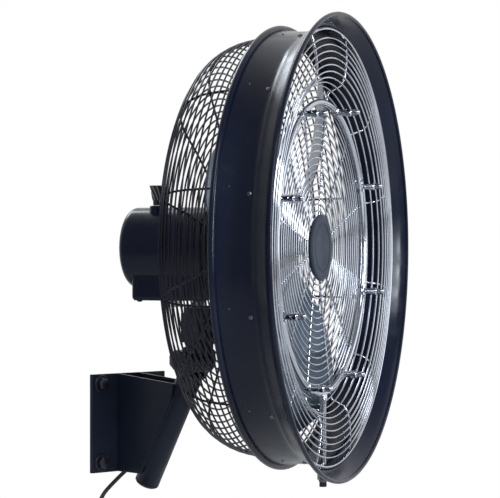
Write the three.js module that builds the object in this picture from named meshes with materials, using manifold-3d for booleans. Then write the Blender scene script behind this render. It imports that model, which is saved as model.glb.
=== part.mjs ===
// A 600 mm class outdoor wall fan: an oscillating head with a drum shroud, two wire guards and a
// misting ring, carried by a leaning post on a square wall bracket.
// Millimetres, +Z up. The origin is the centre of the wall plate's back face and the fan stands
// out towards -Y. The head is stored swung to one side, as the fan was seen.
import * as THREE from "three";
import { mergeVertices } from "three/addons/utils/BufferGeometryUtils.js";
import Module from "manifold-3d";

// ---------------------------------------------------------------- driving dimensions
// Wall bracket
const PLATE_WIDTH = 148;
const PLATE_HEIGHT = 152;
const PLATE_THICKNESS = 6;
const BOLT_SPACING_X = 112;
const BOLT_SPACING_Z = 122;
const WALL_BOLT_RADIUS = 5;
const CHEEK_THICKNESS = 4;
const CHEEK_TOP_REACH = 136; // how far the cheeks' top corner stands out from the wall
const CHEEK_EDGE_MARGIN = 2; // cheek metal in front of the post's centre line, where it is welded
// Post and tilt joint
const POST_RADIUS = 19;
const POST_WALL = 3;
const END_CAP_THICKNESS = 4;
const POST_LEAN = THREE.MathUtils.degToRad(31);
const POST_LENGTH = 223; // from the tilt pivot to the post's lower end
const PIVOT_OUT = 165; // tilt pivot, out from the wall
const PIVOT_HEIGHT = 103; // tilt pivot, above the plate's centre
const EAR_THICKNESS = 7;
const EAR_RADIUS = 21;
const TILT_BOLT_RADIUS = 5;
// Fan head, measured from the swing axis (y) and the blade axis (z)
const FAN_HEIGHT = 271; // blade axis above the plate's centre
const SWING_OUT = 172; // swing axis, out from the wall
const SWING_AT_REST = THREE.MathUtils.degToRad(27);
const SWING_PIN_RADIUS = 8;
const PIN_SHOULDER_RADIUS = 14;
const PIN_DEPTH = 40; // of the pin's bore in the neck
const PIN_STANDS_IN = 26; // pin's end above the foot's underside
const FLARE_RADIUS = 345;
const FLARE_FRONT = -230;
const DRUM_RADIUS = 318;
const DRUM_DEPTH = 96; // front lip to rear bead
const SHEET = 2.2; // steel sheet of the drum
const BEAD_RADIUS = 5;
const GUARD_WIRE = 2;
const RIB_COUNT = 12;
const FRONT_RIB_ANGLE = THREE.MathUtils.degToRad(17);
const REAR_RIB_ANGLE = THREE.MathUtils.degToRad(12);
const BADGE_RADIUS = 49;
const FRONT_RING_RADII = [105, 167, 229, 266]; // the wires kept in the solid
const REAR_RING_RADII = [130, 190, 246];
// Misting ring
const MIST_RADIUS = 214;
const MIST_TUBE_RADIUS = 4.75;
const MIST_BEHIND_LIP = 37;
const NOZZLE_COUNT = 8;
const NOZZLE_LENGTH = 37;
const NOZZLE_RADIUS = 4.5;
const FIRST_NOZZLE_ANGLE = THREE.MathUtils.degToRad(26.5);
// Motor, gearbox and rotor
const MOTOR_RADIUS = 58;
const MOTOR_FRONT = -80;
const GEARBOX_RADIUS = 61;
const GEARBOX_FRONT = -20;
const GEARBOX_REAR = 112;
const GEARBOX_EDGE = 12; // rounding of the gearbox's rear edge
const SHELL = 3;
const FOOT_BOTTOM = -79;
const FOOT_HALF_WIDTH = 45;
const FOOT_REAR = 94.5;
const SHAFT_RADIUS = 8;
const BLADE_COUNT = 3;
const BLADE_TIP_RADIUS = 300;
const BLADE_CENTRE = -125;
const FIRST_BLADE_ANGLE = THREE.MathUtils.degToRad(66); // its straight front edge
const BLADE_ROOT_CHORD = 70;
const BLADE_CHORD = 205; // at its widest
const BLADE_THICKNESS = 2;
const BLADE_SETBACK = 4; // of its middle line at the root, behind the hub's centre
const BLADE_RAKE = 14; // forward lean of its middle line, root to tip
const HUB_RADIUS = 34;
const HUB_NUT_WIDTH = 22;
const HUB_NUT_HEIGHT = 9;
const ROTOR_RADIUS = 29;
// Swing drive
const WORM_RADIUS = 8;
const WORM_WHEEL_TEETH = 30;
const WORM_WHEEL_RADIUS = 17;
const PINION_TEETH = 8;
const CRANK_GEAR_TEETH = 40;
const GEAR_MODULE = 1.4;
const CLUTCH_X = -26;
const CLUTCH_Y = 61;
const CRANK_X = 6.2;
const CRANK_Y = 50;
const CRANK_RADIUS = 16; // throw of the crank pin
const LINK_ARM = 25; // neck lug, out from the swing axis
// Mains lead
const CORD_DIAMETER = 6.2;
const COIL_TURNS = 7;
const COIL_MID_DIAMETER = 11 * CORD_DIAMETER;
const COIL_PITCH = CORD_DIAMETER + 0.6;
// Fits
const CLEARANCE = 0.3;
const RUNNING = 0.5;
const ROUND = 12; // sides of a plain round piece
const FINE_ROUND = 36; // sides of the drum
const RING_SIDES = 24; // sides of a guard ring

// ---------------------------------------------------------------- solids
const wasm = await Module();
wasm.setup();

// A closed three.js geometry as a solid, whichever way its faces wind.
function solid(geometry) {
  const bare = (geometry.index ? geometry.toNonIndexed() : geometry).clone();
  bare.deleteAttribute("normal");
  bare.deleteAttribute("uv");
  const merged = mergeVertices(bare, 1e-4);
  const points = merged.attributes.position.array;
  const corner = (i) => new THREE.Vector3().fromArray(points, 3 * i);
  const faces = [];
  let volume = 0;
  for (let i = 0; i < merged.index.count; i += 3) {
    const [a, b, c] = merged.index.array.slice(i, i + 3);
    if (a === b || b === c || c === a) continue;
    faces.push([a, b, c]);
    volume += corner(a).dot(corner(b).cross(corner(c)));
  }
  const facing = volume < 0 ? faces.map(([a, b, c]) => [a, c, b]) : faces;
  const triVerts = new Uint32Array(facing.flat());
  return new wasm.Manifold(new wasm.Mesh({ numProp: 3, vertProperties: points, triVerts }));
}

function geometryOf(manifold) {
  const mesh = manifold.getMesh();
  const geometry = new THREE.BufferGeometry();
  geometry.setAttribute("position", new THREE.BufferAttribute(mesh.vertProperties, 3));
  geometry.setIndex(new THREE.BufferAttribute(mesh.triVerts, 1));
  geometry.computeVertexNormals();
  return geometry;
}

const join = (...pieces) => pieces.reduce((sum, piece) => sum.add(piece));
const cut = (body, ...tools) => tools.reduce((left, tool) => left.subtract(tool), body);

// A block from its lowest corner to its highest.
function block(low, high) {
  const size = high.map((value, i) => value - low[i]);
  const centre = high.map((value, i) => (value + low[i]) / 2);
  return solid(new THREE.BoxGeometry(...size).translate(...centre));
}

// A round bar between two points.
function bar(from, to, radius, sides = ROUND, endRadius = radius) {
  const start = new THREE.Vector3(...from);
  const along = new THREE.Vector3(...to).sub(start);
  const geometry = new THREE.CylinderGeometry(endRadius, radius, along.length(), sides);
  geometry.translate(0, along.length() / 2, 0);
  const turn = new THREE.Quaternion().setFromUnitVectors(
    new THREE.Vector3(0, 1, 0),
    along.clone().normalize(),
  );
  return solid(geometry.applyQuaternion(turn).translate(...from));
}

// A profile of [radius, y] points turned about the Y axis.
function turned(profile, sides = ROUND) {
  const points = profile.map(([radius, y]) => new THREE.Vector2(radius, y));
  return solid(new THREE.LatheGeometry(points, sides));
}

// The same, closed on itself, for rings and shells.
const turnedRing = (profile, sides) => turned([...profile, profile[0]], sides);

// A wire ring about the Y axis, three-sided to stay light.
function wireRing(radius, y, wire) {
  const profile = [
    [radius + wire, y - 0.7 * wire],
    [radius, y + wire],
    [radius - wire, y - 0.7 * wire],
  ];
  return turnedRing(profile, RING_SIDES);
}

// A flat outline of [a, b] points extruded both ways from the a-b plane.
function slab(outline, thickness) {
  const shape = new THREE.Shape(outline.map(([a, b]) => new THREE.Vector2(a, b)));
  const geometry = new THREE.ExtrudeGeometry(shape, { depth: thickness, bevelEnabled: false });
  return geometry.translate(0, 0, -thickness / 2);
}

// An outline of [y, z] points as a plate square to X, centred on x.
function sidePlate(outline, thickness, x) {
  const geometry = slab(outline, thickness);
  geometry.applyMatrix4(
    new THREE.Matrix4().makeBasis(
      new THREE.Vector3(0, 1, 0),
      new THREE.Vector3(0, 0, 1),
      new THREE.Vector3(1, 0, 0),
    ),
  );
  return solid(geometry.translate(x, 0, 0));
}

// A toothed wheel about the Z axis, from z to z + height.
function gear(teeth, radius, height, z) {
  const tooth = 0.6 * ((2 * Math.PI * radius) / teeth / Math.PI);
  const outline = [];
  for (let i = 0; i < 2 * teeth; i += 1) {
    const angle = (Math.PI * i) / teeth;
    const reach = radius + (i % 2 ? -tooth : tooth);
    outline.push([reach * Math.cos(angle), reach * Math.sin(angle)]);
  }
  return solid(slab(outline, height).translate(0, 0, z + height / 2));
}

// A hexagonal head or nut between two points.
const hex = (from, to, acrossCorners) => bar(from, to, acrossCorners / 2, 6);

const polar = (radius, angle, y = 0) => [
  radius * Math.cos(angle),
  y,
  radius * Math.sin(angle),
];

// ---------------------------------------------------------------- finishes
function finish(colour, roughness, metalness) {
  return new THREE.MeshStandardMaterial({ color: colour, roughness, metalness });
}
const BLACK_PAINT = finish(0x10121c, 0.3, 0.2);
const BLACK_WIRE = finish(0x0c0d12, 0.4, 0.2);
const CHROME = finish(0xd8dbe0, 0.12, 1);
const ALUMINIUM = finish(0x9aa7b8, 0.35, 0.9);
const STEEL = finish(0x9a9a9a, 0.35, 1);
const COPPER = finish(0x9a5a32, 0.5, 0.8);
const BRASS = finish(0xb08d4a, 0.35, 1);
const BLACK_PLASTIC = finish(0x141416, 0.45, 0);
const RUBBER = finish(0x111111, 0.7, 0);

function add(group, name, manifold, material) {
  const mesh = new THREE.Mesh(geometryOf(manifold), material);
  mesh.name = name;
  group.add(mesh);
  return mesh;
}

// ---------------------------------------------------------------- wall bracket
const bracket = new THREE.Group();
const boltX = BOLT_SPACING_X / 2;
const boltZ = BOLT_SPACING_Z / 2;
const plateFront = -PLATE_THICKNESS;

function addWallPlate() {
  const halfWidth = PLATE_WIDTH / 2;
  const halfHeight = PLATE_HEIGHT / 2;
  const plate = block([-halfWidth, plateFront, -halfHeight], [halfWidth, 0, halfHeight]);
  const holes = [-boltX, boltX].flatMap((x) =>
    [-boltZ, boltZ].map((z) => bar([x, plateFront - 1, z], [x, 1, z], WALL_BOLT_RADIUS + RUNNING)),
  );
  add(bracket, "wall_plate", cut(plate, ...holes), BLACK_PAINT);
}

function addWallBolts() {
  const washer = 2;
  const head = 6;
  for (const [name, z] of [["upper", boltZ], ["lower", -boltZ]]) {
    const at = (out) => [-boltX, plateFront - out, z];
    const ring = cut(
      bar(at(CLEARANCE), at(CLEARANCE + washer), 13.5),
      bar(at(0), at(CLEARANCE + washer + 1), WALL_BOLT_RADIUS + RUNNING),
    );
    add(bracket, `wall_washer_${name}`, ring, STEEL);
    const seat = 2 * CLEARANCE + washer;
    const shank = bar(at(seat + 1), [-boltX, -0.5, z], WALL_BOLT_RADIUS);
    const bolt = join(hex(at(seat), at(seat + head), 19), shank);
    add(bracket, `wall_bolt_${name}`, bolt, STEEL);
  }
}

// A point on the post's centre line, so far down from the tilt pivot.
function onPost(down, x = 0) {
  return [
    x,
    -PIVOT_OUT + down * Math.sin(POST_LEAN),
    PIVOT_HEIGHT - down * Math.cos(POST_LEAN),
  ];
}

const postTop = 30;
const cheekX = POST_RADIUS + CLEARANCE + CHEEK_THICKNESS / 2;

function addCheeks() {
  const back = plateFront - CLEARANCE;
  const halfHeight = PLATE_HEIGHT / 2;
  const postAt = (z) => -PIVOT_OUT + (PIVOT_HEIGHT - z) * Math.tan(POST_LEAN);
  const outline = [
    [back, halfHeight],
    [-CHEEK_TOP_REACH, halfHeight - 10],
    [postAt(40) - CHEEK_EDGE_MARGIN, 40],
    [postAt(-halfHeight) - CHEEK_EDGE_MARGIN, -halfHeight],
    [back, -halfHeight],
  ];
  const cordY = CORD_ROUTE[0][1];
  for (const [name, x] of [["near", -cheekX], ["far", cheekX]]) {
    const notch = block([x - 4, cordY - 6, -halfHeight - 1], [x + 4, cordY + 6, -halfHeight + 10]);
    add(bracket, `cheek_${name}`, cut(sidePlate(outline, CHEEK_THICKNESS, x), notch), BLACK_PAINT);
  }
}

function addPost() {
  const outer = bar(onPost(postTop), onPost(POST_LENGTH), POST_RADIUS);
  const bore = bar(onPost(postTop - 1), onPost(POST_LENGTH + 1), POST_RADIUS - POST_WALL);
  add(bracket, "post_tube", cut(outer, bore), BLACK_PAINT);
  const plug = bar(onPost(POST_LENGTH - 18), onPost(POST_LENGTH + 1), POST_RADIUS - POST_WALL - CLEARANCE);
  const rim = bar(onPost(POST_LENGTH + CLEARANCE), onPost(POST_LENGTH + END_CAP_THICKNESS), POST_RADIUS);
  add(bracket, "post_end_cap", join(plug, rim), BLACK_PLASTIC);
}

// ---------------------------------------------------------------- tilt joint
const pivot = [0, -PIVOT_OUT, PIVOT_HEIGHT];
const tangHalf = 12;
const earX = tangHalf + RUNNING + EAR_THICKNESS / 2;
const atPivot = (x) => [x, pivot[1], pivot[2]];

function addClevis() {
  const spigot = bar(onPost(postTop - CLEARANCE), onPost(postTop + 34), POST_RADIUS - POST_WALL - CLEARANCE);
  const collar = bar(onPost(postTop - 8), onPost(postTop - CLEARANCE), POST_RADIUS);
  const ears = [-earX, earX].map((x) => {
    const disc = bar(atPivot(x - EAR_THICKNESS / 2), atPivot(x + EAR_THICKNESS / 2), EAR_RADIUS);
    const web = bar(onPost(0, x - EAR_THICKNESS / 2), onPost(0, x + EAR_THICKNESS / 2), EAR_RADIUS * 0.8);
    const leg = legBetween(x);
    return join(disc, web, leg);
  });
  const bolt = bar(atPivot(-40), atPivot(40), TILT_BOLT_RADIUS + CLEARANCE);
  const body = join(collar, spigot, ...ears);
  add(bracket, "post_clevis", cut(body, bolt), BLACK_PAINT);
}

// The straight part of a clevis ear, from the pivot down to the collar.
function legBetween(x) {
  const along = [Math.sin(POST_LEAN), -Math.cos(POST_LEAN)];
  const across = [Math.cos(POST_LEAN), Math.sin(POST_LEAN)];
  const half = POST_RADIUS * 0.8;
  const corner = (down, side) => [
    pivot[1] + along[0] * down + across[0] * side,
    pivot[2] + along[1] * down + across[1] * side,
  ];
  const outline = [
    corner(0, -half),
    corner(postTop - 2, -half * 0.85),
    corner(postTop - 2, half * 0.85),
    corner(0, half),
  ];
  return sidePlate(outline, EAR_THICKNESS, x);
}

function addTiltBolt() {
  const outside = earX + EAR_THICKNESS / 2 + CLEARANCE;
  const head = hex(atPivot(outside), atPivot(outside + 7), 19);
  const shank = bar(atPivot(-outside - 20), atPivot(outside + 1), TILT_BOLT_RADIUS);
  add(bracket, "tilt_bolt", join(head, shank), STEEL);
  const knob = cut(
    join(
      bar(atPivot(-outside - 8), atPivot(-outside), 11),
      bar(atPivot(-outside - 24), atPivot(-outside - 7), 16, 12),
    ),
    bar(atPivot(-outside - 21), atPivot(-outside + 1), TILT_BOLT_RADIUS + CLEARANCE),
  );
  add(bracket, "tilt_lock_knob", knob, BLACK_PLASTIC);
}

// ---------------------------------------------------------------- neck
const neck = new THREE.Group();
neck.position.set(0, -SWING_OUT, FAN_HEIGHT);
const neckTop = FOOT_BOTTOM - 11;
const pivotInNeck = [0, SWING_OUT - PIVOT_OUT, PIVOT_HEIGHT - FAN_HEIGHT];
const linkPlane = FOOT_BOTTOM - 8.5;

function addNeck() {
  const [, py, pz] = pivotInNeck;
  const at = (x) => [x, py, pz];
  const tang = bar(at(-tangHalf), at(tangHalf), EAR_RADIUS);
  const web = block([-tangHalf, -16, pz], [tangHalf, 18, pz + 34]);
  const body = block([-24, -18, pz + 26], [24, 18, neckTop - 8]);
  const flange = bar([0, 0, neckTop - 10], [0, 0, neckTop], 26);
  const lug = bar([0, LINK_ARM, neckTop - 10], [0, LINK_ARM, neckTop], 9);
  const bore = bar([0, 0, neckTop - PIN_DEPTH], [0, 0, neckTop + 1], SWING_PIN_RADIUS + CLEARANCE);
  const bolt = bar(at(-tangHalf - 1), at(tangHalf + 1), TILT_BOLT_RADIUS + CLEARANCE);
  add(neck, "neck_casting", cut(join(tang, web, body, flange, lug), bore, bolt), BLACK_PAINT);
  const shoulder = bar([0, 0, neckTop + CLEARANCE], [0, 0, neckTop + 3], PIN_SHOULDER_RADIUS);
  const pinLow = neckTop - PIN_DEPTH + 2;
  const pin = bar([0, 0, pinLow], [0, 0, FOOT_BOTTOM + PIN_STANDS_IN], SWING_PIN_RADIUS);
  add(neck, "swing_pin", join(shoulder, pin), STEEL);
  const nut = cut(
    hex([0, 0, FOOT_BOTTOM + 18], [0, 0, FOOT_BOTTOM + 25], 20),
    bar([0, 0, FOOT_BOTTOM + 17], [0, 0, FOOT_BOTTOM + 26], 8 + CLEARANCE),
  );
  add(neck, "swing_pin_nut", nut, STEEL);
}

// ---------------------------------------------------------------- head: casings
const head = new THREE.Group();
head.position.set(0, -SWING_OUT, FAN_HEIGHT);
head.rotation.z = SWING_AT_REST;

const crankCentre = [CRANK_X, CRANK_Y];
const clutchShaftRadius = 4;

function addGearbox() {
  const shellProfile = (radius, rear, front) => [
    [0, front],
    [radius, front],
    [radius, rear - GEARBOX_EDGE],
    [radius - GEARBOX_EDGE * 0.3, rear - GEARBOX_EDGE * 0.3],
    [radius - GEARBOX_EDGE, rear],
    [0, rear],
  ];
  const outer = turned(shellProfile(GEARBOX_RADIUS, GEARBOX_REAR, GEARBOX_FRONT), RING_SIDES);
  const hollow = shellProfile(GEARBOX_RADIUS - SHELL, GEARBOX_REAR - SHELL, GEARBOX_FRONT - 1);
  const inner = turned(hollow, RING_SIDES);
  const w = FOOT_HALF_WIDTH;
  const footOut = block([-w, GEARBOX_FRONT, FOOT_BOTTOM], [w, FOOT_REAR, -20]);
  const footIn = block(
    [-w + SHELL, GEARBOX_FRONT + SHELL, FOOT_BOTTOM - 1],
    [w - SHELL, FOOT_REAR - SHELL, -20],
  );
  const boss = bar([CLUTCH_X, CLUTCH_Y, 40], [CLUTCH_X, CLUTCH_Y, GEARBOX_RADIUS + 2], 10);
  const clutchHole = bar([CLUTCH_X, CLUTCH_Y, 30], [CLUTCH_X, CLUTCH_Y, 80], clutchShaftRadius + RUNNING);
  const body = cut(join(outer, footOut, boss), inner, footIn, clutchHole);
  const collarRoom = bar([CLUTCH_X, CLUTCH_Y, 20], [CLUTCH_X, CLUTCH_Y, 50], 11);
  add(head, "gearbox_housing", cut(body, collarRoom), BLACK_PAINT);
  const plateTop = FOOT_BOTTOM + 5;
  const floor = block(
    [-w + SHELL + CLEARANCE, GEARBOX_FRONT + SHELL + CLEARANCE, FOOT_BOTTOM + CLEARANCE],
    [w - SHELL - CLEARANCE, FOOT_REAR - SHELL - CLEARANCE, plateTop],
  );
  const socket = bar([0, 0, FOOT_BOTTOM + CLEARANCE], [0, 0, FOOT_BOTTOM + 16], 14);
  const plate = cut(
    join(floor, socket),
    bar([0, 0, FOOT_BOTTOM - 1], [0, 0, FOOT_BOTTOM + 17], 11),
    bar([...crankCentre, FOOT_BOTTOM - 1], [...crankCentre, plateTop + 1], 6 + RUNNING),
    bar([CLUTCH_X, CLUTCH_Y, plateTop - 3], [CLUTCH_X, CLUTCH_Y, plateTop + 1], clutchShaftRadius + RUNNING),
  );
  add(head, "foot_plate", plate, BLACK_PAINT);
  const bush = cut(
    bar([0, 0, FOOT_BOTTOM + CLEARANCE], [0, 0, FOOT_BOTTOM + 16], 11 - CLEARANCE),
    bar([0, 0, FOOT_BOTTOM - 1], [0, 0, FOOT_BOTTOM + 17], 8 + CLEARANCE),
  );
  add(head, "swing_bush", bush, BRASS);
}

function addClutch() {
  const at = (z) => [CLUTCH_X, CLUTCH_Y, z];
  const low = GEARBOX_RADIUS + 2 + RUNNING;
  const stem = bar(at(low), at(low + 8), 5, 12);
  const grip = bar(at(low + 7), at(low + 30), 5.5, 12, 9.5);
  const rod = bar(at(34), at(low + 1), clutchShaftRadius - CLEARANCE, 12);
  add(clutch, "clutch_knob", join(stem, grip, rod), BLACK_PLASTIC);
}

function addMotor() {
  const front = MOTOR_FRONT;
  const rear = GEARBOX_FRONT - CLEARANCE;
  const casing = turnedRing([
    [SHAFT_RADIUS + 2, front],
    [MOTOR_RADIUS - 12, front],
    [MOTOR_RADIUS, front + 10],
    [MOTOR_RADIUS, rear],
    [MOTOR_RADIUS - SHELL, rear],
    [MOTOR_RADIUS - SHELL, front + 12],
    [MOTOR_RADIUS - 14, front + SHELL],
    [SHAFT_RADIUS + 2, front + SHELL],
  ], RING_SIDES);
  add(head, "motor_casing", casing, BLACK_PAINT);
  const statorOut = MOTOR_RADIUS - SHELL - CLEARANCE;
  const statorRear = rear - 8;
  const stator = turnedRing([
    [30, front + 20],
    [statorOut, front + 20],
    [statorOut, statorRear],
    [30, statorRear],
  ]);
  add(head, "motor_stator", stator, COPPER);
  const bearing = turnedRing([
    [SHAFT_RADIUS + CLEARANCE, front + SHELL + CLEARANCE],
    [16, front + SHELL + CLEARANCE],
    [16, front + 11],
    [SHAFT_RADIUS + CLEARANCE, front + 11],
  ]);
  add(head, "front_bearing", bearing, STEEL);
  const carrierOut = MOTOR_RADIUS - SHELL - CLEARANCE;
  const carrier = turnedRing([
    [SHAFT_RADIUS + CLEARANCE, statorRear + 1],
    [carrierOut, statorRear + 1],
    [carrierOut, rear],
    [SHAFT_RADIUS + CLEARANCE, rear],
  ]);
  add(head, "rear_bearing_plate", carrier, ALUMINIUM);
}

// ---------------------------------------------------------------- head: drum and guards
const drumRear = FLARE_FRONT + DRUM_DEPTH;
const facet = Math.cos(Math.PI / FINE_ROUND); // flats of the drum against its corners
const frontRingY = FLARE_FRONT + 23;
const flareSeat = DRUM_RADIUS + 7.3; // flare's inside radius where the front guard sits
const frontRingRadius = flareSeat * facet - GUARD_WIRE - CLEARANCE;
const rearRingRadius = (DRUM_RADIUS - SHEET) * facet - GUARD_WIRE - CLEARANCE;

function addDrum() {
  const lip = FLARE_FRONT;
  const outside = [
    [DRUM_RADIUS, drumRear - 9],
    [DRUM_RADIUS, lip + 40],
    [DRUM_RADIUS + 10, lip + 25],
    [DRUM_RADIUS + 16, lip + 12],
    [FLARE_RADIUS - 3, lip + 5],
    [FLARE_RADIUS, lip + 2.5],
    [FLARE_RADIUS - 2, lip],
  ];
  const inside = [
    [FLARE_RADIUS - 6, lip + 2],
    [DRUM_RADIUS + 13, lip + 8],
    [DRUM_RADIUS + 7.6, lip + 22],
    [DRUM_RADIUS - SHEET, lip + 37],
    [DRUM_RADIUS - SHEET, drumRear],
  ];
  const bead = [
    [DRUM_RADIUS + BEAD_RADIUS, drumRear + BEAD_RADIUS / 2],
    [DRUM_RADIUS + 2 * BEAD_RADIUS, drumRear],
    [DRUM_RADIUS + 2 * BEAD_RADIUS - 2, drumRear - 7],
  ];
  const shell = turnedRing([...outside, ...inside, ...bead], FINE_ROUND);
  const feedAt = (z) => [0, mistY, z - DRUM_RADIUS];
  const feedHole = bar(feedAt(-12), feedAt(12), MIST_TUBE_RADIUS + CLEARANCE);
  add(head, "drum_shroud", cut(shell, feedHole), BLACK_PAINT);
}

// A radial wire that follows a profile of [radius, y] points, at an angle about the Y axis.
function rib(profile, wire, angle) {
  const sideways = profile.map((point, i) => {
    const before = profile[Math.max(i - 1, 0)];
    const after = profile[Math.min(i + 1, profile.length - 1)];
    const run = Math.hypot(after[0] - before[0], after[1] - before[1]);
    return [-(after[1] - before[1]) / run, (after[0] - before[0]) / run];
  });
  const edge = (sign) =>
    profile.map(([r, y], i) => [r + sign * wire * sideways[i][0], y + sign * wire * sideways[i][1]]);
  const outline = [...edge(1), ...edge(-1).reverse()];
  return solid(slab(outline, 2 * wire).rotateY(-angle));
}

// The y of a profile at a radius, along its straight runs.
function yAt(profile, radius) {
  const i = profile.findIndex(([r], k) => k > 0 && r >= radius);
  const [r0, y0] = profile[i - 1];
  const [r1, y1] = profile[i];
  return THREE.MathUtils.mapLinear(radius, r0, r1, y0, y1);
}

// A guard basket: rings on the profile and ribs along it, round a flat centre plate.
function guard(profile, ringRadii, centre, firstRib) {
  const rings = ringRadii.map((radius) => wireRing(radius, yAt(profile, radius), GUARD_WIRE));
  const ribs = Array.from({ length: RIB_COUNT }, (_, i) =>
    rib(profile, GUARD_WIRE * 0.9, firstRib + (i * 2 * Math.PI) / RIB_COUNT),
  );
  return join(...rings, ...ribs, centre);
}

function addRearGuard() {
  const innerRadius = GEARBOX_RADIUS + 6;
  const y = MOTOR_FRONT + 32;
  const profile = [
    [innerRadius + 4, y],
    [118, y - 2],
    [250, y + 13],
    [296, y - 18],
    [rearRingRadius, drumRear - 4],
  ];
  const ringRadii = [...REAR_RING_RADII, rearRingRadius - 1];
  const plate = turnedRing([
    [MOTOR_RADIUS + CLEARANCE, y - 2],
    [innerRadius + 5, y - 2],
    [innerRadius + 5, y + 2],
    [MOTOR_RADIUS + CLEARANCE, y + 2],
  ], RING_SIDES);
  add(head, "rear_guard", guard(profile, ringRadii, plate, REAR_RIB_ANGLE), BLACK_WIRE);
  const clampY = y + 2 + CLEARANCE;
  const clamp = turnedRing([
    [MOTOR_RADIUS + CLEARANCE, clampY],
    [innerRadius + 3, clampY],
    [innerRadius + 3, clampY + 5],
    [MOTOR_RADIUS + CLEARANCE, clampY + 5],
  ], RING_SIDES);
  add(head, "guard_clamp_ring", clamp, BLACK_PAINT);
}

const guardFace = FLARE_FRONT + 44; // flat middle of the front guard

function addFrontGuard() {
  const crown = FLARE_FRONT + 19;
  const profile = [
    [BADGE_RADIUS - 8, guardFace],
    [235, guardFace],
    [248, crown + 6],
    [268, crown],
    [frontRingRadius, frontRingY],
  ];
  const ringRadii = [...FRONT_RING_RADII, frontRingRadius];
  const centre = turned([
    [0, guardFace - 1.5],
    [BADGE_RADIUS - 6, guardFace - 1.5],
    [BADGE_RADIUS - 6, guardFace + 1.5],
    [0, guardFace + 1.5],
  ], RING_SIDES);
  add(head, "front_guard", guard(profile, ringRadii, centre, FRONT_RIB_ANGLE), CHROME);
  const face = guardFace - GUARD_WIRE - CLEARANCE;
  const badge = turned([
    [0, face],
    [BADGE_RADIUS, face],
    [BADGE_RADIUS, face - 3],
    [BADGE_RADIUS - 2, face - 5],
    [0, face - 5],
  ], RING_SIDES);
  add(head, "guard_badge", badge, BLACK_PLASTIC);
}

// ---------------------------------------------------------------- head: misting ring
const mistY = FLARE_FRONT + MIST_BEHIND_LIP;

function addMistRing() {
  const tube = Array.from({ length: 6 }, (_, i) => {
    const angle = (i * Math.PI) / 3;
    return [MIST_RADIUS + MIST_TUBE_RADIUS * Math.cos(angle), mistY + MIST_TUBE_RADIUS * Math.sin(angle)];
  });
  add(head, "mist_ring", turnedRing(tube, FINE_ROUND), CHROME);
  const base = mistY - MIST_TUBE_RADIUS - CLEARANCE;
  const tip = mistY - NOZZLE_LENGTH;
  for (let i = 0; i < NOZZLE_COUNT; i += 1) {
    const angle = FIRST_NOZZLE_ANGLE + (i * 2 * Math.PI) / NOZZLE_COUNT;
    const at = (y) => polar(MIST_RADIUS, angle, y);
    const stem = bar(at(base), at(tip + 9), NOZZLE_RADIUS, 10);
    const collar = bar(at(tip + 16), at(tip + 8), NOZZLE_RADIUS + 1.2, 10);
    const nose = bar(at(tip + 9), at(tip), NOZZLE_RADIUS, 10, 2.2);
    add(head, `mist_nozzle_${i + 1}`, join(stem, collar, nose), CHROME);
  }
}

function addMistFeed() {
  const top = -(MIST_RADIUS + MIST_TUBE_RADIUS + CLEARANCE);
  const bottom = -(DRUM_RADIUS + 22);
  const feed = bar([0, mistY, bottom + 8], [0, mistY, top], MIST_TUBE_RADIUS, 12);
  add(head, "mist_feed_tube", feed, CHROME);
  const seat = bottom + 7.5;
  const nut = hex([0, mistY, bottom - 12], [0, mistY, seat], 17);
  const collar = hex([0, mistY, seat - 1], [0, mistY, seat + 6], 14);
  const fitting = cut(
    join(nut, collar),
    bar([0, mistY, bottom + 7.5], [0, mistY, seat + 7], MIST_TUBE_RADIUS + CLEARANCE, 12),
    bar([0, mistY, bottom - 13], [0, mistY, bottom], 3, 12),
  );
  add(head, "mist_inlet", fitting, BRASS);
}

// ---------------------------------------------------------------- rotor
const rotor = new THREE.Group();
const clutch = new THREE.Group();
const swingDrive = new THREE.Group();
const crank = new THREE.Group();
const link = new THREE.Group();
head.add(rotor, clutch, swingDrive, crank, link);

const hubFront = BLADE_CENTRE - 26;
const hubRear = BLADE_CENTRE + 22;

function addRotor() {
  const shaftRear = CLUTCH_Y + 18;
  const shaft = bar([0, hubFront - 14, 0], [0, shaftRear, 0], SHAFT_RADIUS - 1);
  add(rotor, "motor_shaft", shaft, STEEL);
  const bore = SHAFT_RADIUS - 1 + CLEARANCE;
  const sleeve = (radius, from, to, sides = ROUND) =>
    turnedRing([[bore, from], [radius, from], [radius, to], [bore, to]], sides);
  add(rotor, "rotor_core", sleeve(ROTOR_RADIUS, MOTOR_FRONT + 22, GEARBOX_FRONT - 12), STEEL);
  add(rotor, "fan_hub", sleeve(HUB_RADIUS, hubFront, hubRear), ALUMINIUM);
  const nutFront = hubFront - HUB_NUT_HEIGHT;
  const nut = cut(
    hex([0, nutFront, 0], [0, hubFront - CLEARANCE, 0], HUB_NUT_WIDTH),
    bar([0, nutFront - 1, 0], [0, hubFront, 0], bore),
  );
  add(rotor, "hub_nut", nut, STEEL);
  const threads = [];
  for (let i = 0; i < 5; i += 1) {
    const y = CLUTCH_Y - 10 + 4 * i;
    threads.push([WORM_RADIUS - 0.4, y], [WORM_RADIUS + 1, y + 2]);
  }
  const first = threads[0][1];
  const last = threads[threads.length - 1][1];
  add(rotor, "worm", turnedRing([...threads, [bore, last], [bore, first]], 12), STEEL);
}

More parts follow.
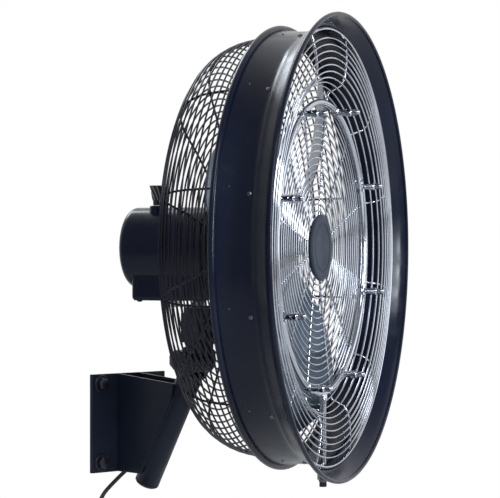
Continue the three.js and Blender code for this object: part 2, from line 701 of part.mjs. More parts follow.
// One wide paddle, as a thin twisted sheet between the hub and the tip.
function blade(angle) {
  const stepsOut = 8;
  const stepsAcross = 6;
  const root = HUB_RADIUS + CLEARANCE + 0.4;
  const points = [];
  const at = (out, across, side) => {
    const radius = root + (BLADE_TIP_RADIUS - root) * out;
    const widening = Math.sin((Math.PI * Math.min(out, 0.6)) / 1.2);
    const taper = 1 - 0.3 * (Math.max(out - 0.6, 0) / 0.4) ** 2;
    const chord = (BLADE_ROOT_CHORD + (BLADE_CHORD - BLADE_ROOT_CHORD) * widening) * taper;
    const pitch = THREE.MathUtils.degToRad(36 - 14 * out);
    const swing = angle - ((0.5 - across) * chord * Math.cos(pitch)) / radius;
    const middle = BLADE_CENTRE + BLADE_SETBACK - BLADE_RAKE * out;
    const y = middle - across * chord * Math.sin(pitch) * (1 - 0.25 * out) + side * BLADE_THICKNESS;
    return polar(radius, swing, y);
  };
  for (const side of [0, 1]) {
    for (let i = 0; i <= stepsOut; i += 1) {
      for (let j = 0; j <= stepsAcross; j += 1) points.push(...at(i / stepsOut, j / stepsAcross - 0.5, side));
    }
  }
  const row = stepsAcross + 1;
  const layer = row * (stepsOut + 1);
  const faces = [];
  const quad = (a, b, c, d) => faces.push(a, b, c, a, c, d);
  for (let i = 0; i < stepsOut; i += 1) {
    for (let j = 0; j < stepsAcross; j += 1) {
      const a = i * row + j;
      quad(a, a + 1, a + row + 1, a + row);
      quad(layer + a, layer + a + row, layer + a + row + 1, layer + a + 1);
    }
    const left = i * row;
    const right = left + stepsAcross;
    quad(left, left + row, layer + left + row, layer + left);
    quad(right, layer + right, layer + right + row, right + row);
  }
  for (let j = 0; j < stepsAcross; j += 1) {
    const tip = stepsOut * row + j;
    quad(j, layer + j, layer + j + 1, j + 1);
    quad(tip, tip + 1, layer + tip + 1, layer + tip);
  }
  const geometry = new THREE.BufferGeometry();
  geometry.setAttribute("position", new THREE.Float32BufferAttribute(points, 3));
  geometry.setIndex(faces);
  return solid(geometry);
}

function addBlades() {
  for (let i = 0; i < BLADE_COUNT; i += 1) {
    const angle = FIRST_BLADE_ANGLE + (i * 2 * Math.PI) / BLADE_COUNT;
    add(rotor, `blade_${i + 1}`, blade(angle), ALUMINIUM);
  }
}

// ---------------------------------------------------------------- swing drive
const gearLow = FOOT_BOTTOM + 9;

function addSwingDrive() {
  const at = (z) => [CLUTCH_X, CLUTCH_Y, z];
  const wheel = gear(WORM_WHEEL_TEETH, WORM_WHEEL_RADIUS - 1.4, 8, -4).translate([CLUTCH_X, CLUTCH_Y, 0]);
  const pinionRadius = (GEAR_MODULE * PINION_TEETH) / 2;
  const pinion = gear(PINION_TEETH, pinionRadius, 9, gearLow).translate([CLUTCH_X, CLUTCH_Y, 0]);
  const shaft = bar(at(FOOT_BOTTOM + 5 + CLEARANCE), at(32), clutchShaftRadius - CLEARANCE, 12);
  add(swingDrive, "worm_wheel_shaft", join(wheel, pinion, shaft), BRASS);
}

function addCrank() {
  const [x, y] = crankCentre;
  const gearRadius = (GEAR_MODULE * CRANK_GEAR_TEETH) / 2;
  const halfTooth = Math.PI / (2 * CRANK_GEAR_TEETH);
  const turn = THREE.MathUtils.radToDeg(halfTooth);
  const wheel = gear(CRANK_GEAR_TEETH, gearRadius - 1, 6, gearLow + 1).rotate([0, 0, turn]);
  const shaft = bar([0, 0, FOOT_BOTTOM - 3], [0, 0, gearLow + 9], 6);
  const web = bar([0, 0, FOOT_BOTTOM - 6], [0, 0, FOOT_BOTTOM - 1], 9);
  const arm = join(
    bar([CRANK_RADIUS, 0, FOOT_BOTTOM - 6], [CRANK_RADIUS, 0, FOOT_BOTTOM - 1], 7),
    block([0, -7, FOOT_BOTTOM - 6], [CRANK_RADIUS, 7, FOOT_BOTTOM - 1]),
  );
  const pin = bar([CRANK_RADIUS, 0, FOOT_BOTTOM - 11], [CRANK_RADIUS, 0, FOOT_BOTTOM - 5], 3.5, 12);
  add(crank, "crank", join(wheel, shaft, web, arm, pin).translate([x, y, 0]), STEEL);
}

// The link runs from the crank pin to above the neck's lug, which it clears.
function addLink() {
  const pin = [crankCentre[0] + CRANK_RADIUS, crankCentre[1]];
  const top = FOOT_BOTTOM - 6 - RUNNING;
  const bottom = neckTop + RUNNING;
  const lug = [LINK_ARM * Math.sin(SWING_AT_REST), LINK_ARM * Math.cos(SWING_AT_REST)];
  const eyes = [pin, lug].map(([x, y]) => bar([x, y, bottom], [x, y, top], 7));
  const run = new THREE.Vector2(pin[0] - lug[0], pin[1] - lug[1]);
  const strap = solid(
    new THREE.BoxGeometry(run.length(), 7, top - bottom)
      .rotateZ(run.angle())
      .translate((pin[0] + lug[0]) / 2, (pin[1] + lug[1]) / 2, (top + bottom) / 2),
  );
  const holes = [pin, lug].map(([x, y]) => bar([x, y, bottom - 1], [x, y, top + 1], 3.5 + CLEARANCE, 12));
  add(link, "swing_link", cut(join(...eyes, strap), ...holes), STEEL);
}

// ---------------------------------------------------------------- mains lead
const cordRadius = CORD_DIAMETER / 2;
const coilOuter = COIL_MID_DIAMETER / 2 + (COIL_TURNS * COIL_PITCH) / 4; // outermost turn's radius
const coilCentre = [-80 + coilOuter, -26, -170];

// The wound part: turns spiral in, climb a layer in half a turn and spiral out again.
function coilPoint(turns) {
  const half = COIL_TURNS / 2;
  const fold = Math.abs(turns - half);
  const radius = coilOuter - COIL_PITCH * (half - fold);
  const climb = THREE.MathUtils.smoothstep(turns, half - 0.25, half + 0.25);
  const angle = Math.PI + turns * 2 * Math.PI;
  return new THREE.Vector3(
    coilCentre[0] + radius * Math.cos(angle),
    coilCentre[1] - climb * COIL_PITCH,
    coilCentre[2] + radius * Math.sin(angle),
  );
}

const coilPoints = Array.from({ length: COIL_TURNS * 24 + 1 }, (_, i) => coilPoint(i / 24));

function leastGap(points) {
  let least = Infinity;
  points.forEach((a, i) => {
    for (let j = i + 12; j < points.length - 1; j += 1) {
      const run = new THREE.Line3(points[j], points[j + 1]);
      const near = run.closestPointToPoint(a, true, new THREE.Vector3());
      least = Math.min(least, a.distanceTo(near) - CORD_DIAMETER);
    }
  });
  return least;
}

// A tube of so many sides through a list of points, closed at both ends.
function tubeThrough(points, radius, sides) {
  const ringAt = points.map((point, i) => {
    const along = points[Math.min(i + 1, points.length - 1)]
      .clone()
      .sub(points[Math.max(i - 1, 0)])
      .normalize();
    const across = new THREE.Vector3(0, 1, 0).addScaledVector(along, -along.y).normalize();
    const other = along.clone().cross(across);
    return Array.from({ length: sides }, (_, k) => {
      const angle = (2 * Math.PI * k) / sides;
      return point
        .clone()
        .addScaledVector(across, radius * Math.cos(angle))
        .addScaledVector(other, radius * Math.sin(angle));
    });
  });
  const positions = [...ringAt.flat(), points[0], points[points.length - 1]].flatMap((p) => p.toArray());
  const faces = [];
  const lastRing = (points.length - 1) * sides;
  for (let k = 0; k < sides; k += 1) {
    const next = (k + 1) % sides;
    for (let i = 0; i < points.length - 1; i += 1) {
      const a = i * sides;
      faces.push(a + k, a + next, a + sides + next, a + k, a + sides + next, a + sides + k);
    }
    faces.push(lastRing + sides, next, k, lastRing + sides + 1, lastRing + k, lastRing + next);
  }
  const geometry = new THREE.BufferGeometry();
  geometry.setAttribute("position", new THREE.Float32BufferAttribute(positions, 3));
  geometry.setIndex(faces);
  return solid(geometry);
}

// Route of the lead from its strain relief to the coil, in order, chosen by hand.
const CORD_ROUTE = [
  [-14.4, -22, -70.3],
  [-23, -22.2, -75.6],
  [-36, -22.8, -83.8],
  [-53, -24, -95],
  [-66, -25, -105],
  [-75, -25.6, -117],
  [-79.2, -26, -131],
  [-80, -26, -146],
];

// From the coil's end down to the plug, as [y, z] steps from the last wound point.
const TAIL_STEPS = [[0, -6], [-1, -18], [-2.5, -32], [-3, -46], [-3, -58]];

const beyond = (from, toward, distance) => from.clone().add(from.clone().sub(toward).setLength(distance));

function addCord() {
  const start = coilPoints[0];
  const next = coilPoints[1];
  const last = coilPoints[coilPoints.length - 1];
  const joint = new THREE.Vector3(start.x, start.y, start.z + CORD_DIAMETER);
  const route = [...CORD_ROUTE.map((p) => new THREE.Vector3(...p)), joint];
  const curve = new THREE.CatmullRomCurve3(route);
  const steps = Math.round(curve.getLength() / (2.2 * CORD_DIAMETER));
  add(bracket, "power_cord", tubeThrough(curve.getSpacedPoints(steps), cordRadius, 8), RUBBER);
  const inward = joint.clone().setZ(joint.z - CLEARANCE);
  const tail = TAIL_STEPS.map(([y, z]) => last.clone().add(new THREE.Vector3(0, y, z)));
  add(bracket, "cord_coil", tubeThrough([inward, ...coilPoints, ...tail], cordRadius, 6), RUBBER);
  let wound = 0;
  coilPoints.slice(1).forEach((point, i) => {
    wound += point.distanceTo(coilPoints[i]);
  });
  console.log("coil: least gap", leastGap(coilPoints).toFixed(2), "mm, length", wound.toFixed(0), "mm");
  const lie = next.z < start.z ? "hanging" : "rising";
  console.log("free cord:", curve.getLength().toFixed(0), "mm,", lie);
  addPlug(tail[tail.length - 1]);
}

function addPlug(out) {
  const at = (down) => [out.x, out.y, out.z - CLEARANCE - down];
  const boot = bar(at(0), at(20), cordRadius + 1, 12, 8);
  const body = bar(at(19), at(46), 12, 12, 15);
  const pins = [-6.35, 6.35].map((x) =>
    block([out.x + x - 0.8, out.y - 3.2, out.z - 64], [out.x + x + 0.8, out.y + 3.2, out.z - 45]),
  );
  const earth = bar([out.x, out.y - 9, out.z - 45], [out.x, out.y - 9, out.z - 67], 2.4, 10);
  add(bracket, "plug", join(boot, body, ...pins, earth), RUBBER);
}

function addCoilTie() {
  const [x, y, z] = coilCentre;
  const half = COIL_TURNS / 2;
  const slack = cordRadius + RUNNING;
  const low = [x - 4, y - COIL_PITCH - slack, z + coilOuter - half * COIL_PITCH - slack];
  const high = [x + 4, y + slack, z + coilOuter + slack];
  const band = 1.2;
  const around = block([low[0], low[1] - band, low[2] - band], [high[0], high[1] + band, high[2] + band]);
  const inside = block([low[0] - 1, low[1], low[2]], [high[0] + 1, high[1], high[2]]);
  add(bracket, "coil_tie", cut(around, inside), BLACK_PLASTIC);
}

const webTop = -50;
const webThickness = 4;
const reliefX = 8;
const reliefY = CORD_ROUTE[0][1];

function addCableWeb() {
  const low = [-POST_RADIUS, -36, webTop - webThickness];
  const high = [POST_RADIUS, plateFront - CLEARANCE, webTop];
  const hole = bar([reliefX, reliefY, low[2] - 1], [reliefX, reliefY, webTop + 1], 6);
  add(bracket, "cable_web", cut(block(low, high), hole), BLACK_PAINT);
}

function addStrainRelief() {
  const under = webTop - webThickness - CLEARANCE;
  const neckPiece = bar([reliefX, reliefY, under - 1], [reliefX, reliefY, webTop + 3], 6 - CLEARANCE);
  const flange = hex([reliefX, reliefY, under], [reliefX, reliefY, under - 5], 18);
  const from = new THREE.Vector3(reliefX - 4, reliefY, under - 4.5);
  const exit = new THREE.Vector3(...CORD_ROUTE[0]);
  const tip = beyond(exit, new THREE.Vector3(...CORD_ROUTE[1]), CLEARANCE);
  const sleeve = bar(from.toArray(), tip.toArray(), 4.8, ROUND, cordRadius + 0.6);
  add(bracket, "strain_relief", join(neckPiece, flange, sleeve), RUBBER);
}

// ---------------------------------------------------------------- assembly
addWallPlate();
addWallBolts();
addCheeks();
addPost();
addClevis();
addTiltBolt();
addCableWeb();
addStrainRelief();
addCord();
addCoilTie();
addNeck();
addGearbox();
addClutch();
addMotor();
addDrum();
addRearGuard();
addFrontGuard();
addMistRing();
addMistFeed();
addRotor();
addBlades();
addSwingDrive();
addCrank();
addLink();

const fan = new THREE.Group();
fan.add(bracket, neck, head);

export default fan;
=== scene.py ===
"""A wall mounted misting fan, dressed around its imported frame: paint, wires, chrome and lead."""
import math

import bmesh
import bpy
from mathutils import Matrix, Vector


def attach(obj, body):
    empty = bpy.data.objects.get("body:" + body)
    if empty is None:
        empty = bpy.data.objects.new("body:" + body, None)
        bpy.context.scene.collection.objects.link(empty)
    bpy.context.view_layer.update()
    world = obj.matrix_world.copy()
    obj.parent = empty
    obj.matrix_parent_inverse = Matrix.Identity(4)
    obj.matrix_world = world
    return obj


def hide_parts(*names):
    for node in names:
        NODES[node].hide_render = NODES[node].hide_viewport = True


MM = 0.001
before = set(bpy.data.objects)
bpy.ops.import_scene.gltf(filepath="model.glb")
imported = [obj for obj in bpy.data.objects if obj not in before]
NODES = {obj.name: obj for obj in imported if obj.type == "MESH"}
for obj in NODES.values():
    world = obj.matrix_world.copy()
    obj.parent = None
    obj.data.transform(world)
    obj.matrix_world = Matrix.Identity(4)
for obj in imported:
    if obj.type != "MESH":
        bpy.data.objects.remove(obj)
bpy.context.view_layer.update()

# ------------------------------------------------------------------ sizes, millimetres
FAN_HEIGHT = 271
SWING_OUT = 172
SWING = math.radians(27)
FLARE_FRONT = -230
DRUM_RADIUS = 318
DRUM_REAR = -134
SHEET = 2.2
BEAD_RADIUS = 5.2
FLARE_SPREAD = 23.5
GUARD_FACE = -186
GUARD_CROWN = -211
FRONT_SEAT = (321.5, -207)
REAR_PLATE = -48
MIST_RADIUS = 214
MIST_Y = -193
MIST_TUBE = 4.75
NOZZLES = 8
FIRST_NOZZLE = math.radians(26.5)
RIBS = 12
FRONT_RIB = math.radians(17)
REAR_RIB = math.radians(15)
BADGE_RADIUS = 49
SHAFT_BORE = 7.3
MOTOR_RADIUS = 58
GEARBOX_RADIUS = 61
GEARBOX_REAR = 112
GEARBOX_EDGE = 12
FOOT_HALF_WIDTH = 45
FOOT_FRONT = -20
FOOT_REAR = 94.5
FOOT_BOTTOM = -79
CLUTCH = (-26, 61)
PIVOT = (0, -165, 103)
POST_LEAN = math.radians(31)
POST_LENGTH = 223
POST_TOP = 30
POST_RADIUS = 19
CORD = 6.2

# ------------------------------------------------------------------ camera
CAMERA_AZIMUTH = math.radians(-43.5)
FOCAL_PX = 2100
IMAGE_WIDTH = 500
SENSOR_MM = 36
CAMERA_SIDE = 0.1928
CAMERA_BACK = 3.2835
CAMERA_HEIGHT = 0.2692


def add_camera():
    """The photograph's view: level, from in front of the wall on its -X side."""
    data = bpy.data.cameras.new("camera")
    data.sensor_width = SENSOR_MM
    data.lens = SENSOR_MM * FOCAL_PX / IMAGE_WIDTH
    data.clip_end = 50
    camera = bpy.data.objects.new("camera", data)
    bpy.context.scene.collection.objects.link(camera)
    right = Vector((math.cos(CAMERA_AZIMUTH), math.sin(CAMERA_AZIMUTH), 0))
    back = Vector((math.sin(CAMERA_AZIMUTH), -math.cos(CAMERA_AZIMUTH), 0))
    camera.location = right * CAMERA_SIDE + back * CAMERA_BACK + Vector((0, 0, CAMERA_HEIGHT))
    camera.rotation_euler = (math.pi / 2, 0, CAMERA_AZIMUTH)
    bpy.context.scene.camera = camera


add_camera()

# ------------------------------------------------------------------ materials


class Nodes:
    """Small helper for building a procedural material."""

    def __init__(self, name):
        self.material = bpy.data.materials.new(name)
        self.material.use_nodes = True
        self.tree = self.material.node_tree
        self.shader = self.tree.nodes["Principled BSDF"]
        self.coords = self.tree.nodes.new("ShaderNodeTexCoord")

    def link(self, a, b):
        self.tree.links.new(a, b)

    def noise(self, scale, detail=4.0, stretch=(1, 1, 1)):
        mapping = self.tree.nodes.new("ShaderNodeMapping")
        mapping.inputs["Scale"].default_value = stretch
        texture = self.tree.nodes.new("ShaderNodeTexNoise")
        texture.inputs["Scale"].default_value = scale
        texture.inputs["Detail"].default_value = detail
        self.link(self.coords.outputs["Object"], mapping.inputs["Vector"])
        self.link(mapping.outputs["Vector"], texture.inputs["Vector"])
        return texture.outputs["Fac"]

    def ramp(self, fac, low, high, start=0.3, end=0.7):
        ramp = self.tree.nodes.new("ShaderNodeValToRGB")
        ramp.color_ramp.elements[0].position = start
        ramp.color_ramp.elements[1].position = end
        ramp.color_ramp.elements[0].color = (*low, 1)
        ramp.color_ramp.elements[1].color = (*high, 1)
        self.link(fac, ramp.inputs["Fac"])
        return ramp.outputs["Color"]

    def spread(self, fac, low, high):
        span = self.tree.nodes.new("ShaderNodeMapRange")
        span.inputs["From Min"].default_value = 0.3
        span.inputs["From Max"].default_value = 0.7
        span.inputs["To Min"].default_value = low
        span.inputs["To Max"].default_value = high
        self.link(fac, span.inputs["Value"])
        return span.outputs["Result"]

    def bump(self, fac, strength, distance):
        bump = self.tree.nodes.new("ShaderNodeBump")
        bump.inputs["Strength"].default_value = strength
        bump.inputs["Distance"].default_value = distance
        self.link(fac, bump.inputs["Height"])
        self.link(bump.outputs["Normal"], self.shader.inputs["Normal"])

    def finish(self, colour, roughness, metallic=0.0):
        self.link(colour, self.shader.inputs["Base Color"])
        self.link(roughness, self.shader.inputs["Roughness"])
        self.shader.inputs["Metallic"].default_value = metallic
        return self.material


def paint(name, low, high, roughness, bump=0.12, ior=1.28):
    """Sprayed enamel: a faint colour drift, dust in the gloss and orange peel."""
    n = Nodes(name)
    n.bump(n.noise(420, 2), bump, 0.0004)
    n.shader.inputs["IOR"].default_value = ior
    dust = n.noise(38, 8)
    return n.finish(n.ramp(n.noise(6, 3), low, high), n.spread(dust, *roughness))


def metal(name, low, high, roughness, grain=(1, 1, 1), bump=0.08, scale=90):
    """Bare or plated metal with a grain in its gloss."""
    n = Nodes(name)
    streak = n.noise(scale, 6, grain)
    n.bump(streak, bump, 0.0002)
    return n.finish(n.ramp(n.noise(14, 5), low, high), n.spread(streak, *roughness), metallic=1.0)


def moulded(name, low, high, roughness, scale=900, bump=0.25):
    """Moulded plastic or rubber with a fine spark texture."""
    n = Nodes(name)
    n.bump(n.noise(scale, 3), bump, 0.0002)
    return n.finish(n.ramp(n.noise(22, 5), low, high), n.spread(n.noise(70, 6), *roughness))


BODY = paint("body_enamel", (0.0035, 0.0055, 0.015), (0.0075, 0.011, 0.026), (0.16, 0.3))
STAND = paint("bracket_enamel", (0.005, 0.0075, 0.016), (0.01, 0.014, 0.026), (0.3, 0.48), 0.2, 1.25)
WIRE = paint("wire_coating", (0.003, 0.003, 0.009), (0.008, 0.008, 0.018), (0.25, 0.4), 0.12, 1.3)
# Plated steel grey, darker than bright chrome: partly the metal's own tone, partly a painted reflection of
# a darker room. Its blue tint is painted too: the cool cast of the light.
CHROME = metal("chrome_plate", (0.37, 0.39, 0.44), (0.53, 0.55, 0.61), (0.08, 0.2))
# Aluminium sheet given a dark blue-grey: painted shade from inside the drum, with the cool cast of the
# light painted in.
ALLOY = metal("blade_sheet", (0.1, 0.14, 0.19), (0.2, 0.25, 0.31), (0.24, 0.42), (1, 1, 9), 0.15, 60)
CAST = metal("cast_alloy", (0.3, 0.32, 0.34), (0.42, 0.43, 0.45), (0.4, 0.6), (1, 1, 1), 0.2, 220)
ZINC = metal("zinc_plate", (0.42, 0.43, 0.44), (0.62, 0.62, 0.6), (0.28, 0.5))
DARK_ZINC = metal("black_zinc", (0.035, 0.035, 0.045), (0.075, 0.075, 0.09), (0.3, 0.5))
FITTING = metal("dark_nickel", (0.07, 0.07, 0.08), (0.15, 0.15, 0.17), (0.22, 0.4))
BRASS = metal("turned_brass", (0.5, 0.36, 0.16), (0.66, 0.5, 0.26), (0.2, 0.36))
COPPER = metal("copper_winding", (0.42, 0.17, 0.08), (0.6, 0.27, 0.13), (0.3, 0.5), (1, 14, 1))
PLASTIC = moulded("black_plastic", (0.006, 0.006, 0.008), (0.012, 0.012, 0.015), (0.34, 0.5))
BADGE = paint("badge_face", (0.02, 0.027, 0.042), (0.03, 0.038, 0.056), (0.45, 0.6), 0.2, 1.22)
RUBBER = moulded("cord_jacket", (0.005, 0.005, 0.006), (0.011, 0.011, 0.012), (0.45, 0.65), 500)
STRIPE = moulded("pale_stripe", (0.2, 0.22, 0.26), (0.3, 0.32, 0.36), (0.4, 0.55))

# ------------------------------------------------------------------ mesh helpers
ON_AXIS = 0.01  # radius that closes a turned shape at its axis
SMOOTH_BELOW = math.radians(38)
BEVEL_ABOVE = math.radians(28)
HEAD = Matrix.Translation((0, -SWING_OUT, FAN_HEIGHT)) @ Matrix.Rotation(SWING, 4, "Z")
ROW = Matrix.Identity(4)


def piece(name, verts, faces, material, body, slot, place=ROW, replaces=(), bevel=0.0):
    """A mesh given in millimetres, set in the row frame and carried by a body."""
    mesh = bpy.data.meshes.new(name)
    mesh.from_pydata([(place @ Vector(v)) * MM for v in verts], [], faces)
    mesh.validate()
    work = bmesh.new()
    work.from_mesh(mesh)
    bmesh.ops.remove_doubles(work, verts=work.verts, dist=1e-6)
    bmesh.ops.recalc_face_normals(work, faces=work.faces)
    work.to_mesh(mesh)
    work.free()
    made = bpy.data.objects.new(name, mesh)
    bpy.context.scene.collection.objects.link(made)
    finish_piece(made, material, body, slot, replaces, bevel)
    return made


def finish_piece(made, material, body, slot, replaces=(), bevel=0.0):
    """Material, soft edges and shading, and what the piece rides on and stands for."""
    made.data.materials.clear()
    made.data.materials.append(material)
    if bevel:
        modifier = made.modifiers.new("edge", "BEVEL")
        modifier.width = bevel * MM
        modifier.segments = 3
        modifier.limit_method = "ANGLE"
        modifier.angle_limit = BEVEL_ABOVE
    made.data.set_sharp_from_angle(angle=SMOOTH_BELOW)
    for polygon in made.data.polygons:
        polygon.use_smooth = True
    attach(made, body)
    if replaces:
        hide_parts(*replaces)


def merged(*parts):
    """Several [verts, faces] shapes as one."""
    verts, faces = [], []
    for part_verts, part_faces in parts:
        start = len(verts)
        verts += part_verts
        faces += [tuple(start + i for i in face) for face in part_faces]
    return verts, faces


def polar(radius, angle, y):
    """A point round the fan's axis."""
    return (radius * math.cos(angle), y, radius * math.sin(angle))


def skin(rows, sides, closed=False):
    """Faces between rows of points that each go once round."""
    return [
        (i * sides + k, i * sides + (k + 1) % sides,
         (i + 1) % rows * sides + (k + 1) % sides, (i + 1) % rows * sides + k)
        for i in range(rows if closed else rows - 1)
        for k in range(sides)
    ]


def lathe(profile, sides=96, closed=False):
    """[radius, y] points turned about the fan's axis."""
    verts = [polar(r, 2 * math.pi * k / sides, y) for r, y in profile for k in range(sides)]
    return verts, skin(len(profile), sides, closed)


def arc(centre, radius, start, end, steps):
    """Points of an arc in a [radius, y] profile, in degrees."""
    angles = [math.radians(start + (end - start) * i / steps) for i in range(steps + 1)]
    return [(centre[0] + radius * math.cos(a), centre[1] + radius * math.sin(a)) for a in angles]


def wire_ring(radius, y, wire, sides=120, around=8):
    """A ring of round wire about the fan's axis."""
    turns = [2 * math.pi * k / around for k in range(around)]
    section = [(radius + wire * math.cos(a), y + wire * math.sin(a)) for a in turns]
    return lathe(section, sides, closed=True)


def tube(points, radius, sides=10, taper=None):
    """A round tube through points; taper gives a radius for each point."""
    points = [Vector(p) for p in points]
    last = len(points) - 1
    normal = None
    verts = []
    for i, point in enumerate(points):
        along = (points[min(i + 1, last)] - points[max(i - 1, 0)]).normalized()
        if normal is None:
            normal = along.orthogonal()
        normal = (normal - along * normal.dot(along)).normalized()
        other = along.cross(normal)
        r = taper[i] if taper else radius
        for k in range(sides):
            a = 2 * math.pi * k / sides
            verts.append(tuple(point + normal * r * math.cos(a) + other * r * math.sin(a)))
    faces = skin(len(points), sides)
    faces.append(tuple(range(sides - 1, -1, -1)))
    faces.append(tuple(last * sides + k for k in range(sides)))
    return verts, faces


def bar(start, end, radius, sides=32, chamfer=0.0):
    """A round or many-sided bar with chamfered ends."""
    start, end = Vector(start), Vector(end)
    along = (end - start).normalized()
    if not chamfer:
        return tube([start, end], radius, sides)
    stations = [start, start + along * chamfer, end - along * chamfer, end]
    return tube(stations, radius, sides, taper=[radius - chamfer, radius, radius, radius - chamfer])


def turned_on(start, along, profile, sides=48):
    """[radius, distance] points turned about an axis from start; open at both ends."""
    start, along = Vector(start), Vector(along).normalized()
    spin = along.orthogonal().normalized()
    other = along.cross(spin)
    verts = []
    for r, distance in profile:
        centre = start + along * max(distance, 0)
        for k in range(sides):
            a = 2 * math.pi * k / sides
            verts.append(tuple(centre + spin * r * math.cos(a) + other * r * math.sin(a)))
    return verts, skin(len(profile), sides)


def box(low, high):
    """A block between two opposite corners."""
    (x0, y0, z0), (x1, y1, z1) = low, high
    verts = [(x, y, z) for x in (x0, x1) for y in (y0, y1) for z in (z0, z1)]
    faces = [(0, 1, 3, 2), (4, 6, 7, 5), (0, 4, 5, 1), (2, 3, 7, 6), (0, 2, 6, 4), (1, 5, 7, 3)]
    return verts, faces


def spline(p, q, r, s, t):
    """Catmull-Rom value between q and r, of numbers or of vectors."""
    bend = 2 * p - 5 * q + 4 * r - s
    twist = 3 * q - p - 3 * r + s
    return 0.5 * (2 * q + (r - p) * t + bend * t * t + twist * t ** 3)


def smooth_line(points, steps=6):
    """A smooth line of [radius, y] points through a few of them."""
    padded = [points[0], *points, points[-1]]
    line = []
    for a, b, c, d in zip(padded, padded[1:], padded[2:], padded[3:]):
        for i in range(steps):
            line.append(tuple(spline(*ends, i / steps) for ends in zip(a, b, c, d)))
    return [*line, points[-1]]


def evenly(line, pitch):
    """Points a pitch apart along a polyline."""
    out, left = [line[0]], pitch
    for (r0, y0), (r1, y1) in zip(line, line[1:]):
        run = math.hypot(r1 - r0, y1 - y0)
        while run > 0 and left <= run:
            t = left / run
            r0, y0 = r0 + (r1 - r0) * t, y0 + (y1 - y0) * t
            out.append((r0, y0))
            run -= left
            left = pitch
        left -= run
    return out


def rounded_copy(node, material, body, slot, bevel):
    """A node's own shape with softened edges."""
    made = bpy.data.objects.new(node + "_finished", NODES[node].data.copy())
    bpy.context.scene.collection.objects.link(made)
    work = bmesh.new()
    work.from_mesh(made.data)
    bmesh.ops.remove_doubles(work, verts=work.verts, dist=1e-6)
    bmesh.ops.dissolve_limit(work, angle_limit=math.radians(2), verts=work.verts, edges=work.edges)
    work.to_mesh(made.data)
    work.free()
    finish_piece(made, material, body, slot, (node,), bevel)


# ------------------------------------------------------------------ drum
def drum_screws():
    """Two rows of dome screws, where the guards' ribs meet the drum."""
    screws = []
    rows = ((FLARE_FRONT + 42, 3.6, FRONT_RIB), (DRUM_REAR - 24, 2.0, REAR_RIB))
    for y, head, first in rows:
        crown = [(head, 0), (head, 0.8), (head * 0.85, 1.9), (head * 0.35, 2.5)]
        socket = [(head * 0.3, 1.8), (ON_AXIS, 1.7)]
        for k in range(RIBS):
            angle = first + 2 * math.pi * k / RIBS
            seat = polar(DRUM_RADIUS - 0.5, angle, y)
            screws.append(turned_on(seat, polar(1, angle, 0), [*crown, *socket], 20))
    piece("drum_screws", *merged(*screws), FITTING, "head", "hardware", HEAD)


def drum():
    """Rolled rear bead, straight drum and a flare that ends in a rolled lip."""
    inner = DRUM_RADIUS - SHEET
    rolled = arc((DRUM_RADIUS + 4.5, DRUM_REAR - 4.2), BEAD_RADIUS, -110, 90, 16)
    bead = [(DRUM_RADIUS, DRUM_REAR - 16), (DRUM_RADIUS + 0.6, DRUM_REAR - 11), *reversed(rolled)]
    flare = [(0, 44), (1.5, 36), (9, 24), (17, 12), (FLARE_SPREAD, 5)]
    flare_out = smooth_line([(DRUM_RADIUS + out, FLARE_FRONT + back) for out, back in flare], 5)
    lip = arc((DRUM_RADIUS + FLARE_SPREAD, FLARE_FRONT + 3), 3.4, 30, -150, 10)
    flare_in = [(r - SHEET, y - 1) for r, y in reversed(flare_out)]
    rear_in = [(inner, DRUM_REAR - 6), (inner + 1, DRUM_REAR - 1)]
    profile = [*bead, (DRUM_RADIUS, DRUM_REAR - 30), *flare_out, *lip, *flare_in, *rear_in]
    shell = lathe(profile, 180, closed=True)
    piece("drum", *shell, BODY, "head", "body_paint", HEAD, ("drum_shroud",))
    drum_screws()


# ------------------------------------------------------------------ guards
FRONT_LINE = smooth_line([
    (BADGE_RADIUS - 4, GUARD_FACE), (120, GUARD_FACE + 1), (190, GUARD_FACE), (232, GUARD_FACE),
    (240, GUARD_FACE - 7), (248, GUARD_CROWN + 6), (262, GUARD_CROWN), (285, GUARD_CROWN - 1),
    (308, GUARD_CROWN + 1), FRONT_SEAT], 8)
REAR_LINE = smooth_line([
    (70, REAR_PLATE), (118, -51), (180, -45), (235, -36), (262, -38), (286, -52), (302, -78),
    (309, -108), (311.5, -138)], 8)


def beside(line, off):
    """The same line moved sideways, square to itself."""
    out = []
    last = len(line) - 1
    for i in range(last + 1):
        (r0, y0), (r1, y1) = line[max(i - 1, 0)], line[min(i + 1, last)]
        run = math.hypot(r1 - r0, y1 - y0) or 1
        out.append((line[i][0] - off * (y1 - y0) / run, line[i][1] + off * (r1 - r0) / run))
    return out


def guard(name, line, wire, rib_wire, pitch, behind, first, node, material, slot):
    """Concentric wires spot-welded to ribs that follow the same line, one wire behind."""
    stations = evenly(line, pitch)
    if math.dist(stations[-1], line[-1]) > pitch * 0.5:
        stations.append(line[-1])
    rings = [wire_ring(r, y, wire) for r, y in stations[:-1]]
    rings.append(wire_ring(*line[-1], wire * 1.8))
    rib_line = beside(line, behind * (wire + rib_wire) * 0.92)
    ribs = []
    for k in range(RIBS):
        angle = first + 2 * math.pi * k / RIBS
        ribs.append(tube([polar(r, angle, y) for r, y in rib_line], rib_wire, 10))
    piece(name, *merged(*rings, *ribs), material, "head", slot, HEAD, (node,))


